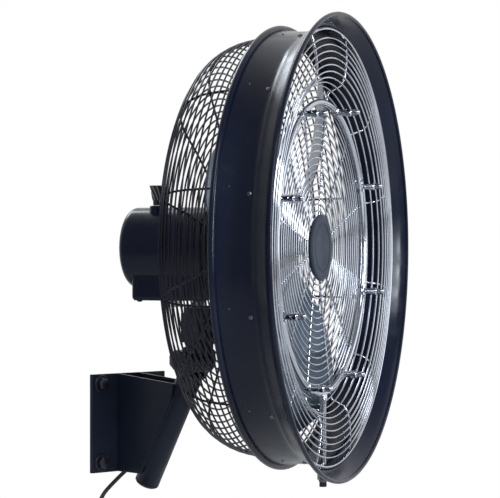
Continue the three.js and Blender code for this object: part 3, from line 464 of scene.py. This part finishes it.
def front_centre():
    """Plate at the middle of the front guard, and the bare badge on it."""
    y = GUARD_FACE
    rim = BADGE_RADIUS - 3
    plate = lathe([(ON_AXIS, y - 1.2), (rim, y - 1.2), (rim + 1, y), (rim, y + 1.2), (ON_AXIS, y + 1.2)])
    piece("front_guard_plate", *plate, CHROME, "head", "chrome_wire", HEAD)
    face = y - 2.3
    dish = [(ON_AXIS, face - 3.6), (20, face - 3.8), (33, face - 4.1)]
    groove = [(34, face - 3.3), (36, face - 3.3), (37, face - 4.2)]
    edge = [
        (BADGE_RADIUS - 4, face - 4.6), (BADGE_RADIUS - 1.5, face - 4.2), (BADGE_RADIUS, face - 2.6),
        (BADGE_RADIUS, face), (ON_AXIS, face)]
    badge = lathe([*dish, *groove, *edge], 120)
    piece("badge_cap", *badge, BADGE, "head", "plastic", HEAD, ("guard_badge",))


def rear_centre():
    """Plate at the middle of the rear guard, and the ring that clamps it to the motor."""
    bore = MOTOR_RADIUS + 0.4
    plate = [(bore, -1.5), (74, -1.5), (75.5, 0), (74, 1.5), (bore, 1.5)]
    ring = lathe([(r, REAR_PLATE + y) for r, y in plate], 96, True)
    piece("rear_guard_plate", *ring, WIRE, "head", "guard_wire", HEAD)
    seat = REAR_PLATE + 2.4
    section = [(bore, 0), (69, 0), (70, 1), (70, 3), (68.5, 4.6), (bore, 4.6)]
    clamp = lathe([(r, seat + y) for r, y in section], 96, True)
    head = [(3.6, 0), (3.6, 1.5), (2.6, 2.4), (ON_AXIS, 2.4)]
    screws = [
        turned_on(polar(65, math.pi / 4 + k * math.pi / 2, seat + 4.4), (0, 1, 0), head, 18)
        for k in range(4)
    ]
    piece("guard_clamp", *merged(clamp, *screws), BODY, "head", "body_paint", HEAD, ("guard_clamp_ring",))


# ------------------------------------------------------------------ misting ring
def nozzles():
    """Forward nozzles on the ring, each on a tee sleeve."""
    stem = [(3.2, 0), (4.6, 0.8), (4.6, 10)]
    collar = [(5.7, 10.6), (5.7, 12.4), (5.0, 12.8), (5.0, 14), (5.7, 14.4), (5.7, 19)]
    nose = [(4.9, 19.8), (4.5, 22), (4.5, 27), (3.4, 31.6), (1.5, 33)]
    jet = [(0.9, 33), (0.8, 31.4), (ON_AXIS, 31.4)]
    tee = [(4.8, 0), (6.1, 0.4), (6.1, 6), (5.6, 7), (5.6, 15), (6.1, 16), (6.1, 21.6), (4.8, 22)]
    sleeves = []
    for k in range(NOZZLES):
        angle = FIRST_NOZZLE + 2 * math.pi * k / NOZZLES
        start = polar(MIST_RADIUS, angle, MIST_Y - MIST_TUBE * 0.75)
        body = turned_on(start, (0, -1, 0), [*stem, *collar, *nose, *jet], 28)
        piece(f"nozzle_{k + 1}", *body, CHROME, "head", "chrome_wire", HEAD, (f"mist_nozzle_{k + 1}",))
        tangent = Vector((-math.sin(angle), 0, math.cos(angle)))
        centre = Vector(polar(MIST_RADIUS, angle, MIST_Y))
        sleeves.append(turned_on(centre - tangent * 11, tangent, tee, 28))
    piece("nozzle_tees", *merged(*sleeves), CHROME, "head", "chrome_wire", HEAD)


def on_feed(z):
    """A point of the feed tube's upright axis."""
    return (0, MIST_Y, z)


def mist_feed():
    """Upright tube from the ring through the drum, with its hose fitting below."""
    top, low = -(MIST_RADIUS + MIST_TUBE * 0.6), -(DRUM_RADIUS + 14)
    feed = bar(on_feed(low), on_feed(top), MIST_TUBE, 32)
    collar = turned_on(on_feed(top - 8), (0, 0, 1), [(4.8, 0), (6.3, 0.6), (6.3, 8), (5, 10)], 28)
    clamp = bar(on_feed(-292), on_feed(-284), 6.2, 28, 0.8)
    tube_shape = merged(feed, collar, clamp)
    piece("feed_tube", *tube_shape, CHROME, "head", "chrome_wire", HEAD, ("mist_feed_tube",))
    base = -(DRUM_RADIUS + 34)
    thread = [(5.2 if i % 2 == 0 else 5.8, 0.8 * i) for i in range(9)]
    hose_end = [(2.5, 3), (2.6, 0), *thread, (6.4, 8), (6.4, 12)]
    body = turned_on(on_feed(base), (0, 0, 1), hose_end, 28)
    nut = bar(on_feed(base + 10), on_feed(base + 20), 8.4, 6, 1)
    gland = bar(on_feed(base + 19), on_feed(base + 26), 6.6, 6, 0.8)
    fitting = merged(body, nut, gland)
    piece("inlet_fitting", *fitting, FITTING, "head", "brass", HEAD, ("mist_inlet",))


def misting():
    """The misting ring, its nozzles and its feed."""
    ring = lathe(arc((MIST_RADIUS, MIST_Y), MIST_TUBE, 0, 345, 23), 200, True)
    piece("mist_tube_ring", *ring, CHROME, "head", "chrome_wire", HEAD, ("mist_ring",))
    nozzles()
    mist_feed()


# ------------------------------------------------------------------ motor and gearbox
def gearbox():
    """Round housing with a foot below, cover screws and the clutch's boss."""
    radius, rear = GEARBOX_RADIUS, GEARBOX_REAR
    straight = rear - GEARBOX_EDGE - 1
    seam = [(radius, 14), (radius - 0.8, 14.8), (radius - 0.8, 16.2), (radius, 17)]
    edge = arc((radius - GEARBOX_EDGE, straight), GEARBOX_EDGE, 4, 86, 12)
    shell = lathe([
        (radius - 4, -20), (radius, -19), *seam, (radius, straight), *edge,
        (20, rear - 0.6), (ON_AXIS, rear - 0.4)], 96)
    piece("gearbox_shell", *shell, BODY, "head", "body_paint", HEAD, ("gearbox_housing",))
    foot = box((-FOOT_HALF_WIDTH, FOOT_FRONT, FOOT_BOTTOM), (FOOT_HALF_WIDTH, FOOT_REAR, -24))
    piece("gearbox_foot", *foot, BODY, "head", "body_paint", HEAD, bevel=6)
    low_head = [(4, 0), (4, 1.2), (2.8, 2.2), (ON_AXIS, 2.2)]
    tall_head = [(4, 0), (4, 2.4), (2.6, 3.6), (ON_AXIS, 3.6)]
    under = FOOT_BOTTOM + 0.2
    screws = [turned_on((x, y, under), (0, 0, -1), low_head, 18) for x in (-36, 36) for y in (-10, 84)]
    cover = [
        turned_on(polar(42, math.radians(45 + 90 * k), rear - 2), (0, 1, 0), tall_head, 18)
        for k in range(4)
    ]
    piece("casing_screws", *merged(*screws, *cover), DARK_ZINC, "head", "hardware", HEAD)
    boss = turned_on((*CLUTCH, 46), (0, 0, 1), [(10, 0), (10, 16.2), (9, 17.2), (5, 17.2)], 32)
    piece("clutch_boss", *boss, BODY, "head", "body_paint", HEAD)


def motor():
    """Motor casing with a domed front and cooling grooves round it."""
    r = MOTOR_RADIUS
    fins = []
    for k in range(9):
        y = -66 + 4.6 * k
        fins += [(r, y), (r, y + 2.2), (r - 1.6, y + 2.8), (r - 1.6, y + 4)]
    face = [(9.5, -80), (r - 26, -80), (r - 24, -79), (r - 12, -79.6)]
    shell = lathe([*face, *arc((r - 9, -71), 9, -80, -4, 8), *fins, (r, -21)], 96)
    piece("motor_shell", *shell, BODY, "head", "body_paint", HEAD, ("motor_casing",))


def clutch_knob():
    """Flared pull knob with a twisted grip and pale stripes in its grooves."""
    base = Vector((*CLUTCH, 63.5))
    twist, sides, grooves, steps = math.radians(70), 48, 8, 24
    rows = [(5.6 + 3.6 * (i / steps) ** 1.3, 8 + 22 * (i / steps), i / steps) for i in range(steps + 1)]

    def on_knob(radius, angle, height):
        return (base.x + radius * math.cos(angle), base.y + radius * math.sin(angle), base.z + height)

    verts = []
    for radius, height, t in rows:
        for k in range(sides):
            a = 2 * math.pi * k / sides
            groove = 1 + 0.09 * math.cos(grooves * (a + twist * t))
            verts.append(on_knob(radius * groove, a, height))
    faces = skin(len(rows), sides)
    faces.append(tuple(steps * sides + k for k in range(sides)))
    stem = bar(base + Vector((0, 0, 0.2)), base + Vector((0, 0, 9)), 5, 28, 0.4)
    piece("pull_knob", *merged((verts, faces), stem), PLASTIC, "clutch", "plastic", HEAD, ("clutch_knob",))
    stripes = []
    for k in range(grooves):
        first = 2 * math.pi * k / grooves
        path = [on_knob(radius * 1.075, first - twist * t, height) for radius, height, t in rows]
        stripes.append(tube(path, 0.55, 6))
    piece("knob_stripes", *merged(*stripes), STRIPE, "clutch", "plastic", HEAD)


# ------------------------------------------------------------------ rotor
BLADES = 3
BLADE_TIP, BLADE_ROOT, BLADE_CENTRE = 300, 34.7, -125
BLADE_SETBACK, BLADE_RAKE = 4, 14
BLADE_EDGE = math.radians(66)
ROOT_CHORD, WIDEST_CHORD = 70, 205
BLADE_THICKNESS = 1.8
WIDEST_AT = 0.6  # share of the way from root to tip
RIVET = [(4, 0), (3.6, 1.2), (2, 2.2), (ON_AXIS, 2.5)]


def blade_point(angle, out, across, side):
    """A point of a paddle: out from root to tip, across its chord, on its front or rear side."""
    radius = BLADE_ROOT + (BLADE_TIP - BLADE_ROOT) * out
    widening = math.sin(math.pi / 2 * min(out, WIDEST_AT) / WIDEST_AT)
    taper = 1 - 0.3 * (max(out - WIDEST_AT, 0) / (1 - WIDEST_AT)) ** 2
    chord = (ROOT_CHORD + (WIDEST_CHORD - ROOT_CHORD) * widening) * taper
    pitch = math.radians(36 - 14 * out)
    swing = angle - (0.5 - across) * chord * math.cos(pitch) / radius
    crown = 7 * (1 - (2 * across) ** 2) * math.sin(math.pi * min(out * 1.4, 1) / 2)
    middle = BLADE_CENTRE + BLADE_SETBACK - BLADE_RAKE * out + crown
    y = middle - across * chord * math.sin(pitch) * (1 - 0.25 * out) + side * BLADE_THICKNESS
    return polar(radius, swing, y)


def rounding(out, across):
    """Draws the tip's corners in, so the paddle ends in round shoulders."""
    shoulder = max(out - 0.8, 0) / 0.2
    return across * (1 - 0.3 * shoulder ** 3)


def sheet_faces(rows, columns):
    """Faces of a closed thin sheet: two layers of points and the edges between them."""
    width, layer = columns + 1, (columns + 1) * (rows + 1)
    faces = []
    for i in range(rows):
        for j in range(columns):
            a = i * width + j
            faces.append((a, a + 1, a + width + 1, a + width))
            faces.append((layer + a, layer + a + width, layer + a + width + 1, layer + a + 1))
        for edge in (i * width, i * width + columns):
            faces.append((edge, edge + width, layer + edge + width, layer + edge))
    for j in range(columns):
        for start in (j, rows * width + j):
            faces.append((start, start + 1, layer + start + 1, layer + start))
    return faces


def blades():
    """The paddles, each with three rivets at its root."""
    rows, columns = 40, 24
    faces = sheet_faces(rows, columns)
    for k in range(BLADES):
        angle = BLADE_EDGE + 2 * math.pi * k / BLADES
        verts = [
            blade_point(angle, i / rows, rounding(i / rows, j / columns - 0.5), side)
            for side in (0, 1)
            for i in range(rows + 1)
            for j in range(columns + 1)
        ]
        paddle = f"paddle_{k + 1}"
        piece(paddle, verts, faces, ALLOY, "rotor", "blade_metal", HEAD, (f"blade_{k + 1}",))
        rivets = [
            turned_on(blade_point(angle, out, across, -0.4), (0, -1, 0), RIVET, 16)
            for out, across in ((0.07, -0.2), (0.07, 0.2), (0.16, 0.0))
        ]
        piece(f"paddle_rivets_{k + 1}", *merged(*rivets), ZINC, "rotor", "hardware", HEAD)


def hub():
    """Cast hub with a rounded nose, and the nut on the shaft."""
    front, rear = BLADE_CENTRE - 26, BLADE_CENTRE + 22
    nose = [(16, front), (18, front + 2), (30, front + 5), (34, front + 9)]
    skirt = [(34.2, rear - 5), (32, rear - 1)]
    body = lathe([(SHAFT_BORE, front), *nose, *skirt, (SHAFT_BORE, rear)], 64, True)
    piece("hub", *body, CAST, "rotor", "blade_metal", HEAD, ("fan_hub",))
    nut = bar((0, front - 9, 0), (0, front - 0.3, 0), 10.8, 6, 1.2)
    piece("shaft_nut", *nut, ZINC, "rotor", "hardware", HEAD, ("hub_nut",))


# ------------------------------------------------------------------ post and bracket
def on_post(down, x=0.0):
    """A point of the post's axis, a distance down it from the tilt pivot."""
    return Vector((x, PIVOT[1] + down * math.sin(POST_LEAN), PIVOT[2] - down * math.cos(POST_LEAN)))


def post():
    """Leaning tube with its end cap and a weld bead along each cheek."""
    down = Vector((0, math.sin(POST_LEAN), -math.cos(POST_LEAN)))
    length = POST_LENGTH - POST_TOP
    r = POST_RADIUS
    wall = [(r - 3, 0), (r - 0.6, 0), (r, 0.8), (r, length - 0.8), (r - 0.6, length), (r - 3, length)]
    pipe = turned_on(on_post(POST_TOP), down, wall, 64)
    piece("post_pipe", *pipe, STAND, "bracket", "bracket_paint", ROW, ("post_tube",))
    rim = [(r - 3, 0), (r, 0), (r, 2.6), (r - 0.8, 3.5), (r - 2.5, 3.9), (ON_AXIS, 4)]
    cap = turned_on(on_post(POST_LENGTH + 0.3), down, rim, 64)
    piece("post_plug", *cap, PLASTIC, "bracket", "plastic", ROW, ("post_end_cap",))
    for name, x in (("near", -19.2), ("far", 19.2)):
        bead = [on_post(run, x) + Vector((0, -2.4, 0)) for run in range(66, 198, 3)]
        widths = [1.7 + 0.35 * (i % 2) for i in range(len(bead))]
        piece(f"weld_{name}", *tube(bead, 1.9, 10, taper=widths), STAND, "bracket", "bracket_paint")


def bolt(name, at, out, replaces, corner=9.5, height=6.4):
    """Hex head with chamfered corners and a low crown."""
    at, out = Vector(at), Vector(out)
    hexagon = bar(at, at + out * height, corner, 6, 0.9)
    dome = [(corner * 0.82, 0), (corner * 0.78, 0.9), (corner * 0.5, 1.3), (ON_AXIS, 1.4)]
    crown = turned_on(at + out * (height - 0.4), out, dome, 32)
    piece(name, *merged(hexagon, crown), DARK_ZINC, "bracket", "hardware", ROW, replaces)


def wall_fixings():
    """The two wall bolts that are fitted, on their washers."""
    washer = [(5.5, 0), (13, 0), (13.5, 0.6), (13.5, 1.6), (13, 2.2), (5.5, 2.2)]
    x = -56
    for name, z in (("upper", 61), ("lower", -61)):
        ring = turned_on((x, -6.2, z), (0, -1, 0), washer, 48)
        piece(f"washer_{name}", *ring, DARK_ZINC, "bracket", "hardware", ROW, (f"wall_washer_{name}",))
        bolt(f"anchor_{name}", (x, -8.5, z), (0, -1, 0), (f"wall_bolt_{name}",))


def bracket_plates():
    """The bracket's plates and castings in their own shapes, with softened edges."""
    edges = {"wall_plate": 0.9, "cheek_near": 0.7, "cheek_far": 0.7, "cable_web": 0.5, "post_clevis": 1.2}
    for node, bevel in edges.items():
        rounded_copy(node, STAND, "bracket", "bracket_paint", bevel)
    rounded_copy("neck_casting", STAND, "neck", "bracket_paint", 2.2)


def lock_knob():
    """Seven-lobed knob that locks the tilt, with the bolt's head on the other side."""
    _, y, z = PIVOT
    sides, lobes, knob_face = 48, 7, -28.4
    rows = ((0, 10.5), (1.5, 14.8), (3, 15.6), (14, 15.6), (16, 14.6), (17, 11), (17, ON_AXIS))
    verts = []
    for out, r in rows:
        depth = 0.09 if r > 12 else 0
        for k in range(sides):
            a = 2 * math.pi * k / sides
            radius = r * (1 - depth * (0.5 + 0.5 * math.cos(lobes * a)))
            verts.append((knob_face - out, y + radius * math.cos(a), z + radius * math.sin(a)))
    neck = bar((knob_face - 0.2, y, z), (-20.2, y, z), 10.6, 40, 0.8)
    knob = merged((verts, skin(len(rows), sides)), neck)
    piece("lock_knob", *knob, PLASTIC, "bracket", "plastic", ROW, ("tilt_lock_knob",))
    bolt("tilt_head", (20, y, z), (1, 0, 0), ("tilt_bolt",), 9.4, 6.6)


# ------------------------------------------------------------------ mains lead
COIL_TURNS = 7
COIL_PITCH = CORD + 0.6
COIL_OUTER = 5.5 * CORD + COIL_TURNS * COIL_PITCH / 4
COIL_CENTRE = Vector((-80 + COIL_OUTER, -26, -170))
CORD_ROUTE = [
    (-14.4, -22, -70.3), (-23, -22.2, -75.6), (-36, -22.8, -83.8), (-53, -24, -95),
    (-66, -25, -105), (-75, -25.6, -117), (-79.2, -26, -131), (-80, -26, -146),
]
TAIL = [(0, -6), (-1, -18), (-2.5, -32), (-3, -46), (-3, -58)]


def coil_point(turns):
    """The wound coil: half its turns go in, then it steps across and half come out."""
    half = COIL_TURNS / 2
    radius = COIL_OUTER - COIL_PITCH * (half - abs(turns - half))
    t = min(max((turns - half + 0.25) / 0.5, 0), 1)
    climb = t * t * (3 - 2 * t)
    angle = math.pi + turns * 2 * math.pi
    out = Vector((radius * math.cos(angle), -climb * COIL_PITCH, radius * math.sin(angle)))
    return COIL_CENTRE + out


def through(points, steps):
    """A smooth route through points in space."""
    padded = [points[0] * 2 - points[1], *points, points[-1] * 2 - points[-2]]
    line = []
    for ends in zip(padded, padded[1:], padded[2:], padded[3:]):
        line += [spline(*ends, i / steps) for i in range(steps)]
    return [*line, points[-1]]


def plug(end):
    """Moulded plug with a ribbed neck, two flat prongs and an earth pin."""
    down = (0, 0, -1)
    ribs = [
        (4.6, 2), (5.6, 2.6), (4.9, 4.6), (6, 5.4), (5.4, 7.6), (6.8, 8.6),
        (6.2, 11), (7.8, 12.4), (7.4, 15)]
    grip = [(9.4, 17.5), (11.2, 21), (12, 26), (13.6, 38), (14.6, 43), (14.6, 45.6), (13.6, 46.4)]
    profile = [(CORD / 2 + 1, 0), *ribs, *grip, (ON_AXIS, 46.4)]
    body = turned_on(end + Vector((0, 0, -0.4)), down, profile, 48)
    grooves = []
    for k in range(3):
        low, high = 0.3 * k, 0.35 * k
        ridge = [(12.2 + low, 0), (13.4 + high, 0.6), (13.4 + high, 1.6), (12.4 + low, 2.2)]
        grooves.append(turned_on(end + Vector((0, 0, -28 - 3.4 * k)), down, ridge, 48))
    face = end.z - 46
    moulding = piece("plug_body", *merged(body, *grooves), RUBBER, "bracket", "rubber", ROW, ("plug",))
    prongs = [
        box((end.x + x - 0.75, end.y - 3.1, face - 17.5), (end.x + x + 0.75, end.y + 3.1, face))
        for x in (-6.35, 6.35)
    ]
    earth = bar((end.x, end.y - 9, face), (end.x, end.y - 9, face - 20.5), 2.35, 24, 0.9)
    pins = piece("plug_pins", *merged(*prongs, earth), BRASS, "bracket", "rubber", ROW, bevel=0.3)
    return moulding, pins


def coil_tie():
    """A flat strap round all the turns, at the coil's top."""
    top = COIL_CENTRE + Vector((0, 0, COIL_OUTER))
    slack, half_width, thickness, bend = CORD / 2 + 0.45, 4, 0.9, 2.6
    y_low, y_high = top.y - COIL_PITCH - slack, top.y + slack
    z_low, z_high = top.z - COIL_TURNS / 2 * COIL_PITCH - slack, top.z + slack
    y_middle, z_middle = top.y - COIL_PITCH / 2, (z_low + z_high) / 2
    corners = (
        (y_high - 2, z_high - 2, 0), (y_low + 2, z_high - 2, 90),
        (y_low + 2, z_low + 2, 180), (y_high - 2, z_low + 2, 270))
    loop = []
    for y, z, start in corners:
        loop += arc((y, z), bend, start, start + 90, 3)
    verts = [(top.x + x, y, z) for y, z in loop for x in (-half_width, half_width)]
    for y, z in loop:
        y_out = y + (thickness if y > y_middle else -thickness)
        z_out = z + (thickness if z > z_middle else -thickness)
        verts += [(top.x + x, y_out, z_out) for x in (half_width, -half_width)]
    count = len(loop)
    faces = []
    for i in range(count):
        j = (i + 1) % count
        inside = (2 * i, 2 * i + 1, 2 * j + 1, 2 * j)
        a, b, c, d = inside
        e, f, g, h = (2 * count + corner for corner in inside)
        faces += [(a, b, c, d), (e, f, g, h), (b, e, h, c), (a, d, g, f)]
    return piece("cord_tie", verts, faces, PLASTIC, "bracket", "plastic", ROW, ("coil_tie",))


def strain_relief():
    """Hex gland with a ribbed sleeve that ends where the lead comes out."""
    start = Vector((4, -22, -58.8))
    run = Vector(CORD_ROUTE[0]) - start
    rings = []
    for k in range(8):
        d = run.length * (0.2 + 0.09 * k)
        r = 6.2 - 0.33 * k
        rings += [(r - 0.9, d), (r, d + 0.3), (r, d + 1.1), (r - 0.9, d + 1.4)]
    sleeve = turned_on(start, run, [(4.8, 0), (6, 2), *rings, (CORD / 2 + 0.3, run.length - 0.3)], 36)
    flange = bar((8, -22, -54.4), (8, -22, -59.3), 9, 6, 0.7)
    stub = bar((8, -22, -55.4), (8, -22, -47.2), 5.7, 28, 0.5)
    gland = merged(sleeve, flange, stub)
    piece("strain_sleeve", *gland, RUBBER, "bracket", "rubber", ROW, ("strain_relief",))


def mains_lead():
    """The lead from its gland to its plug, by way of the tied coil."""
    wound = [coil_point(i / 32) for i in range(COIL_TURNS * 32 + 1)]
    tail = [wound[-1] + Vector((0, y, z)) for y, z in TAIL]
    free = through([*map(Vector, CORD_ROUTE), wound[0]], 4)
    path = [*free[:-1], *wound, *through([wound[-1], *tail], 4)[1:]]
    shape = tube(path, CORD / 2, 14)
    jacket = piece("mains_cord", *shape, RUBBER, "bracket", "rubber", ROW, ("power_cord", "cord_coil"))
    length = sum((b - a).length for a, b in zip(path, path[1:])) * MM
    moulding, pins = plug(tail[-1])
    tie = coil_tie()
    strain_relief()
    tuple(Vector(CORD_ROUTE[0]) * MM)


# ------------------------------------------------------------------ nodes that stay
KEPT = {
    "foot_plate": BODY, "swing_pin": ZINC, "swing_pin_nut": ZINC, "swing_bush": BRASS,
    "motor_stator": COPPER, "front_bearing": ZINC, "rear_bearing_plate": CAST,
    "motor_shaft": ZINC, "rotor_core": ZINC, "worm": ZINC, "worm_wheel_shaft": BRASS,
    "crank": ZINC, "swing_link": ZINC,
}


def finish_kept_nodes():
    """Materials for the inner nodes that show as they are."""
    for name, material in KEPT.items():
        made = NODES[name]
        made.data.materials.clear()
        made.data.materials.append(material)


# ------------------------------------------------------------------ studio
FILL_LEVEL = 0.3  # the room's light on the fan, where the backdrop is 1
LAMP_COLOUR = (0.86, 0.93, 1.0)
FLOOR_Z = -0.62
FLOOR_REACH = 2.6


def lamp(name, size, power, location, target, tall=None):
    """An area lamp aimed at a point; tall makes it an upright strip."""
    data = bpy.data.lights.new(name, "AREA")
    data.size = size
    if tall:
        data.shape = "RECTANGLE"
        data.size_y = tall
    data.energy = power
    data.color = LAMP_COLOUR
    made = bpy.data.objects.new(name, data)
    bpy.context.scene.collection.objects.link(made)
    made.location = location
    made.rotation_euler = (Vector(target) - Vector(location)).to_track_quat("-Z", "Y").to_euler()


def backdrop():
    """A white world, which mirrors see only on the camera's far side."""
    world = bpy.data.worlds.new("studio")
    bpy.context.scene.world = world
    world.use_nodes = True
    tree = world.node_tree

    def joined(operation, a, b):
        node = tree.nodes.new("ShaderNodeMath")
        node.operation = operation
        tree.links.new(a, node.inputs[0])
        tree.links.new(b, node.inputs[1])
        return node.outputs[0]

    path = tree.nodes.new("ShaderNodeLightPath").outputs
    direction = tree.nodes.new("ShaderNodeTexCoord").outputs["Generated"]
    facing = tree.nodes.new("ShaderNodeVectorMath")
    facing.operation = "DOT_PRODUCT"
    facing.inputs[1].default_value = (-math.sin(CAMERA_AZIMUTH), math.cos(CAMERA_AZIMUTH), 0)
    tree.links.new(direction, facing.inputs[0])
    behind = tree.nodes.new("ShaderNodeMapRange")
    behind.inputs["From Min"].default_value = -0.2
    behind.inputs["From Max"].default_value = 0.5
    tree.links.new(facing.outputs["Value"], behind.inputs["Value"])
    mirrored = joined("MAXIMUM", path["Is Glossy Ray"], path["Is Transmission Ray"])
    reflected = joined("MULTIPLY", mirrored, behind.outputs["Result"])
    seen = joined("MAXIMUM", path["Is Camera Ray"], reflected)
    level = tree.nodes.new("ShaderNodeMapRange")
    level.inputs["To Min"].default_value = FILL_LEVEL
    tree.links.new(seen, level.inputs["Value"])
    background = tree.nodes["Background"]
    background.inputs["Color"].default_value = (1, 1, 1, 1)
    tree.links.new(level.outputs["Result"], background.inputs["Strength"])


def floor():
    """A pale floor well below the fan."""
    mesh = bpy.data.meshes.new("floor")
    corners = [(-1, -1), (1, -1), (1, 1), (-1, 1)]
    mesh.from_pydata([(x * FLOOR_REACH, y * FLOOR_REACH, FLOOR_Z) for x, y in corners], [], [(0, 1, 2, 3)])
    made = bpy.data.objects.new("floor", mesh)
    bpy.context.scene.collection.objects.link(made)
    n = Nodes("floor_pale")
    colour = n.ramp(n.noise(3), (0.8, 0.8, 0.79), (0.84, 0.84, 0.83))
    mesh.materials.append(n.finish(colour, n.spread(n.noise(9), 0.6, 0.7)))


def lamps():
    """Size in metres, power in watts, place and aim."""
    lamp("key", 1.6, 60, (-2.2, -2.6, 2.6), (0.1, -0.3, 0.3))
    lamp("fill", 2.2, 26, (2.6, -2.2, 1.2), (0.1, -0.3, 0.3))
    lamp("rim", 1.2, 30, (0.6, 2.2, 2.4), (0.1, -0.2, 0.3))
    lamp("strip", 0.3, 60, (0.01, -3.0, 0.75), (0.39, -0.22, 0.18), 1.3)


drum()
guard("front_grille", FRONT_LINE, 1.25, 1.7, 9.8, 1, FRONT_RIB, "front_guard", CHROME, "chrome_wire")
guard("rear_basket", REAR_LINE, 1.35, 1.6, 9.6, -1, REAR_RIB, "rear_guard", WIRE, "guard_wire")
front_centre()
rear_centre()
misting()
gearbox()
motor()
clutch_knob()
blades()
hub()
post()
wall_fixings()
bracket_plates()
lock_knob()
mains_lead()
finish_kept_nodes()
backdrop()
floor()
lamps()
bpy.context.scene.view_settings.view_transform = "Standard"
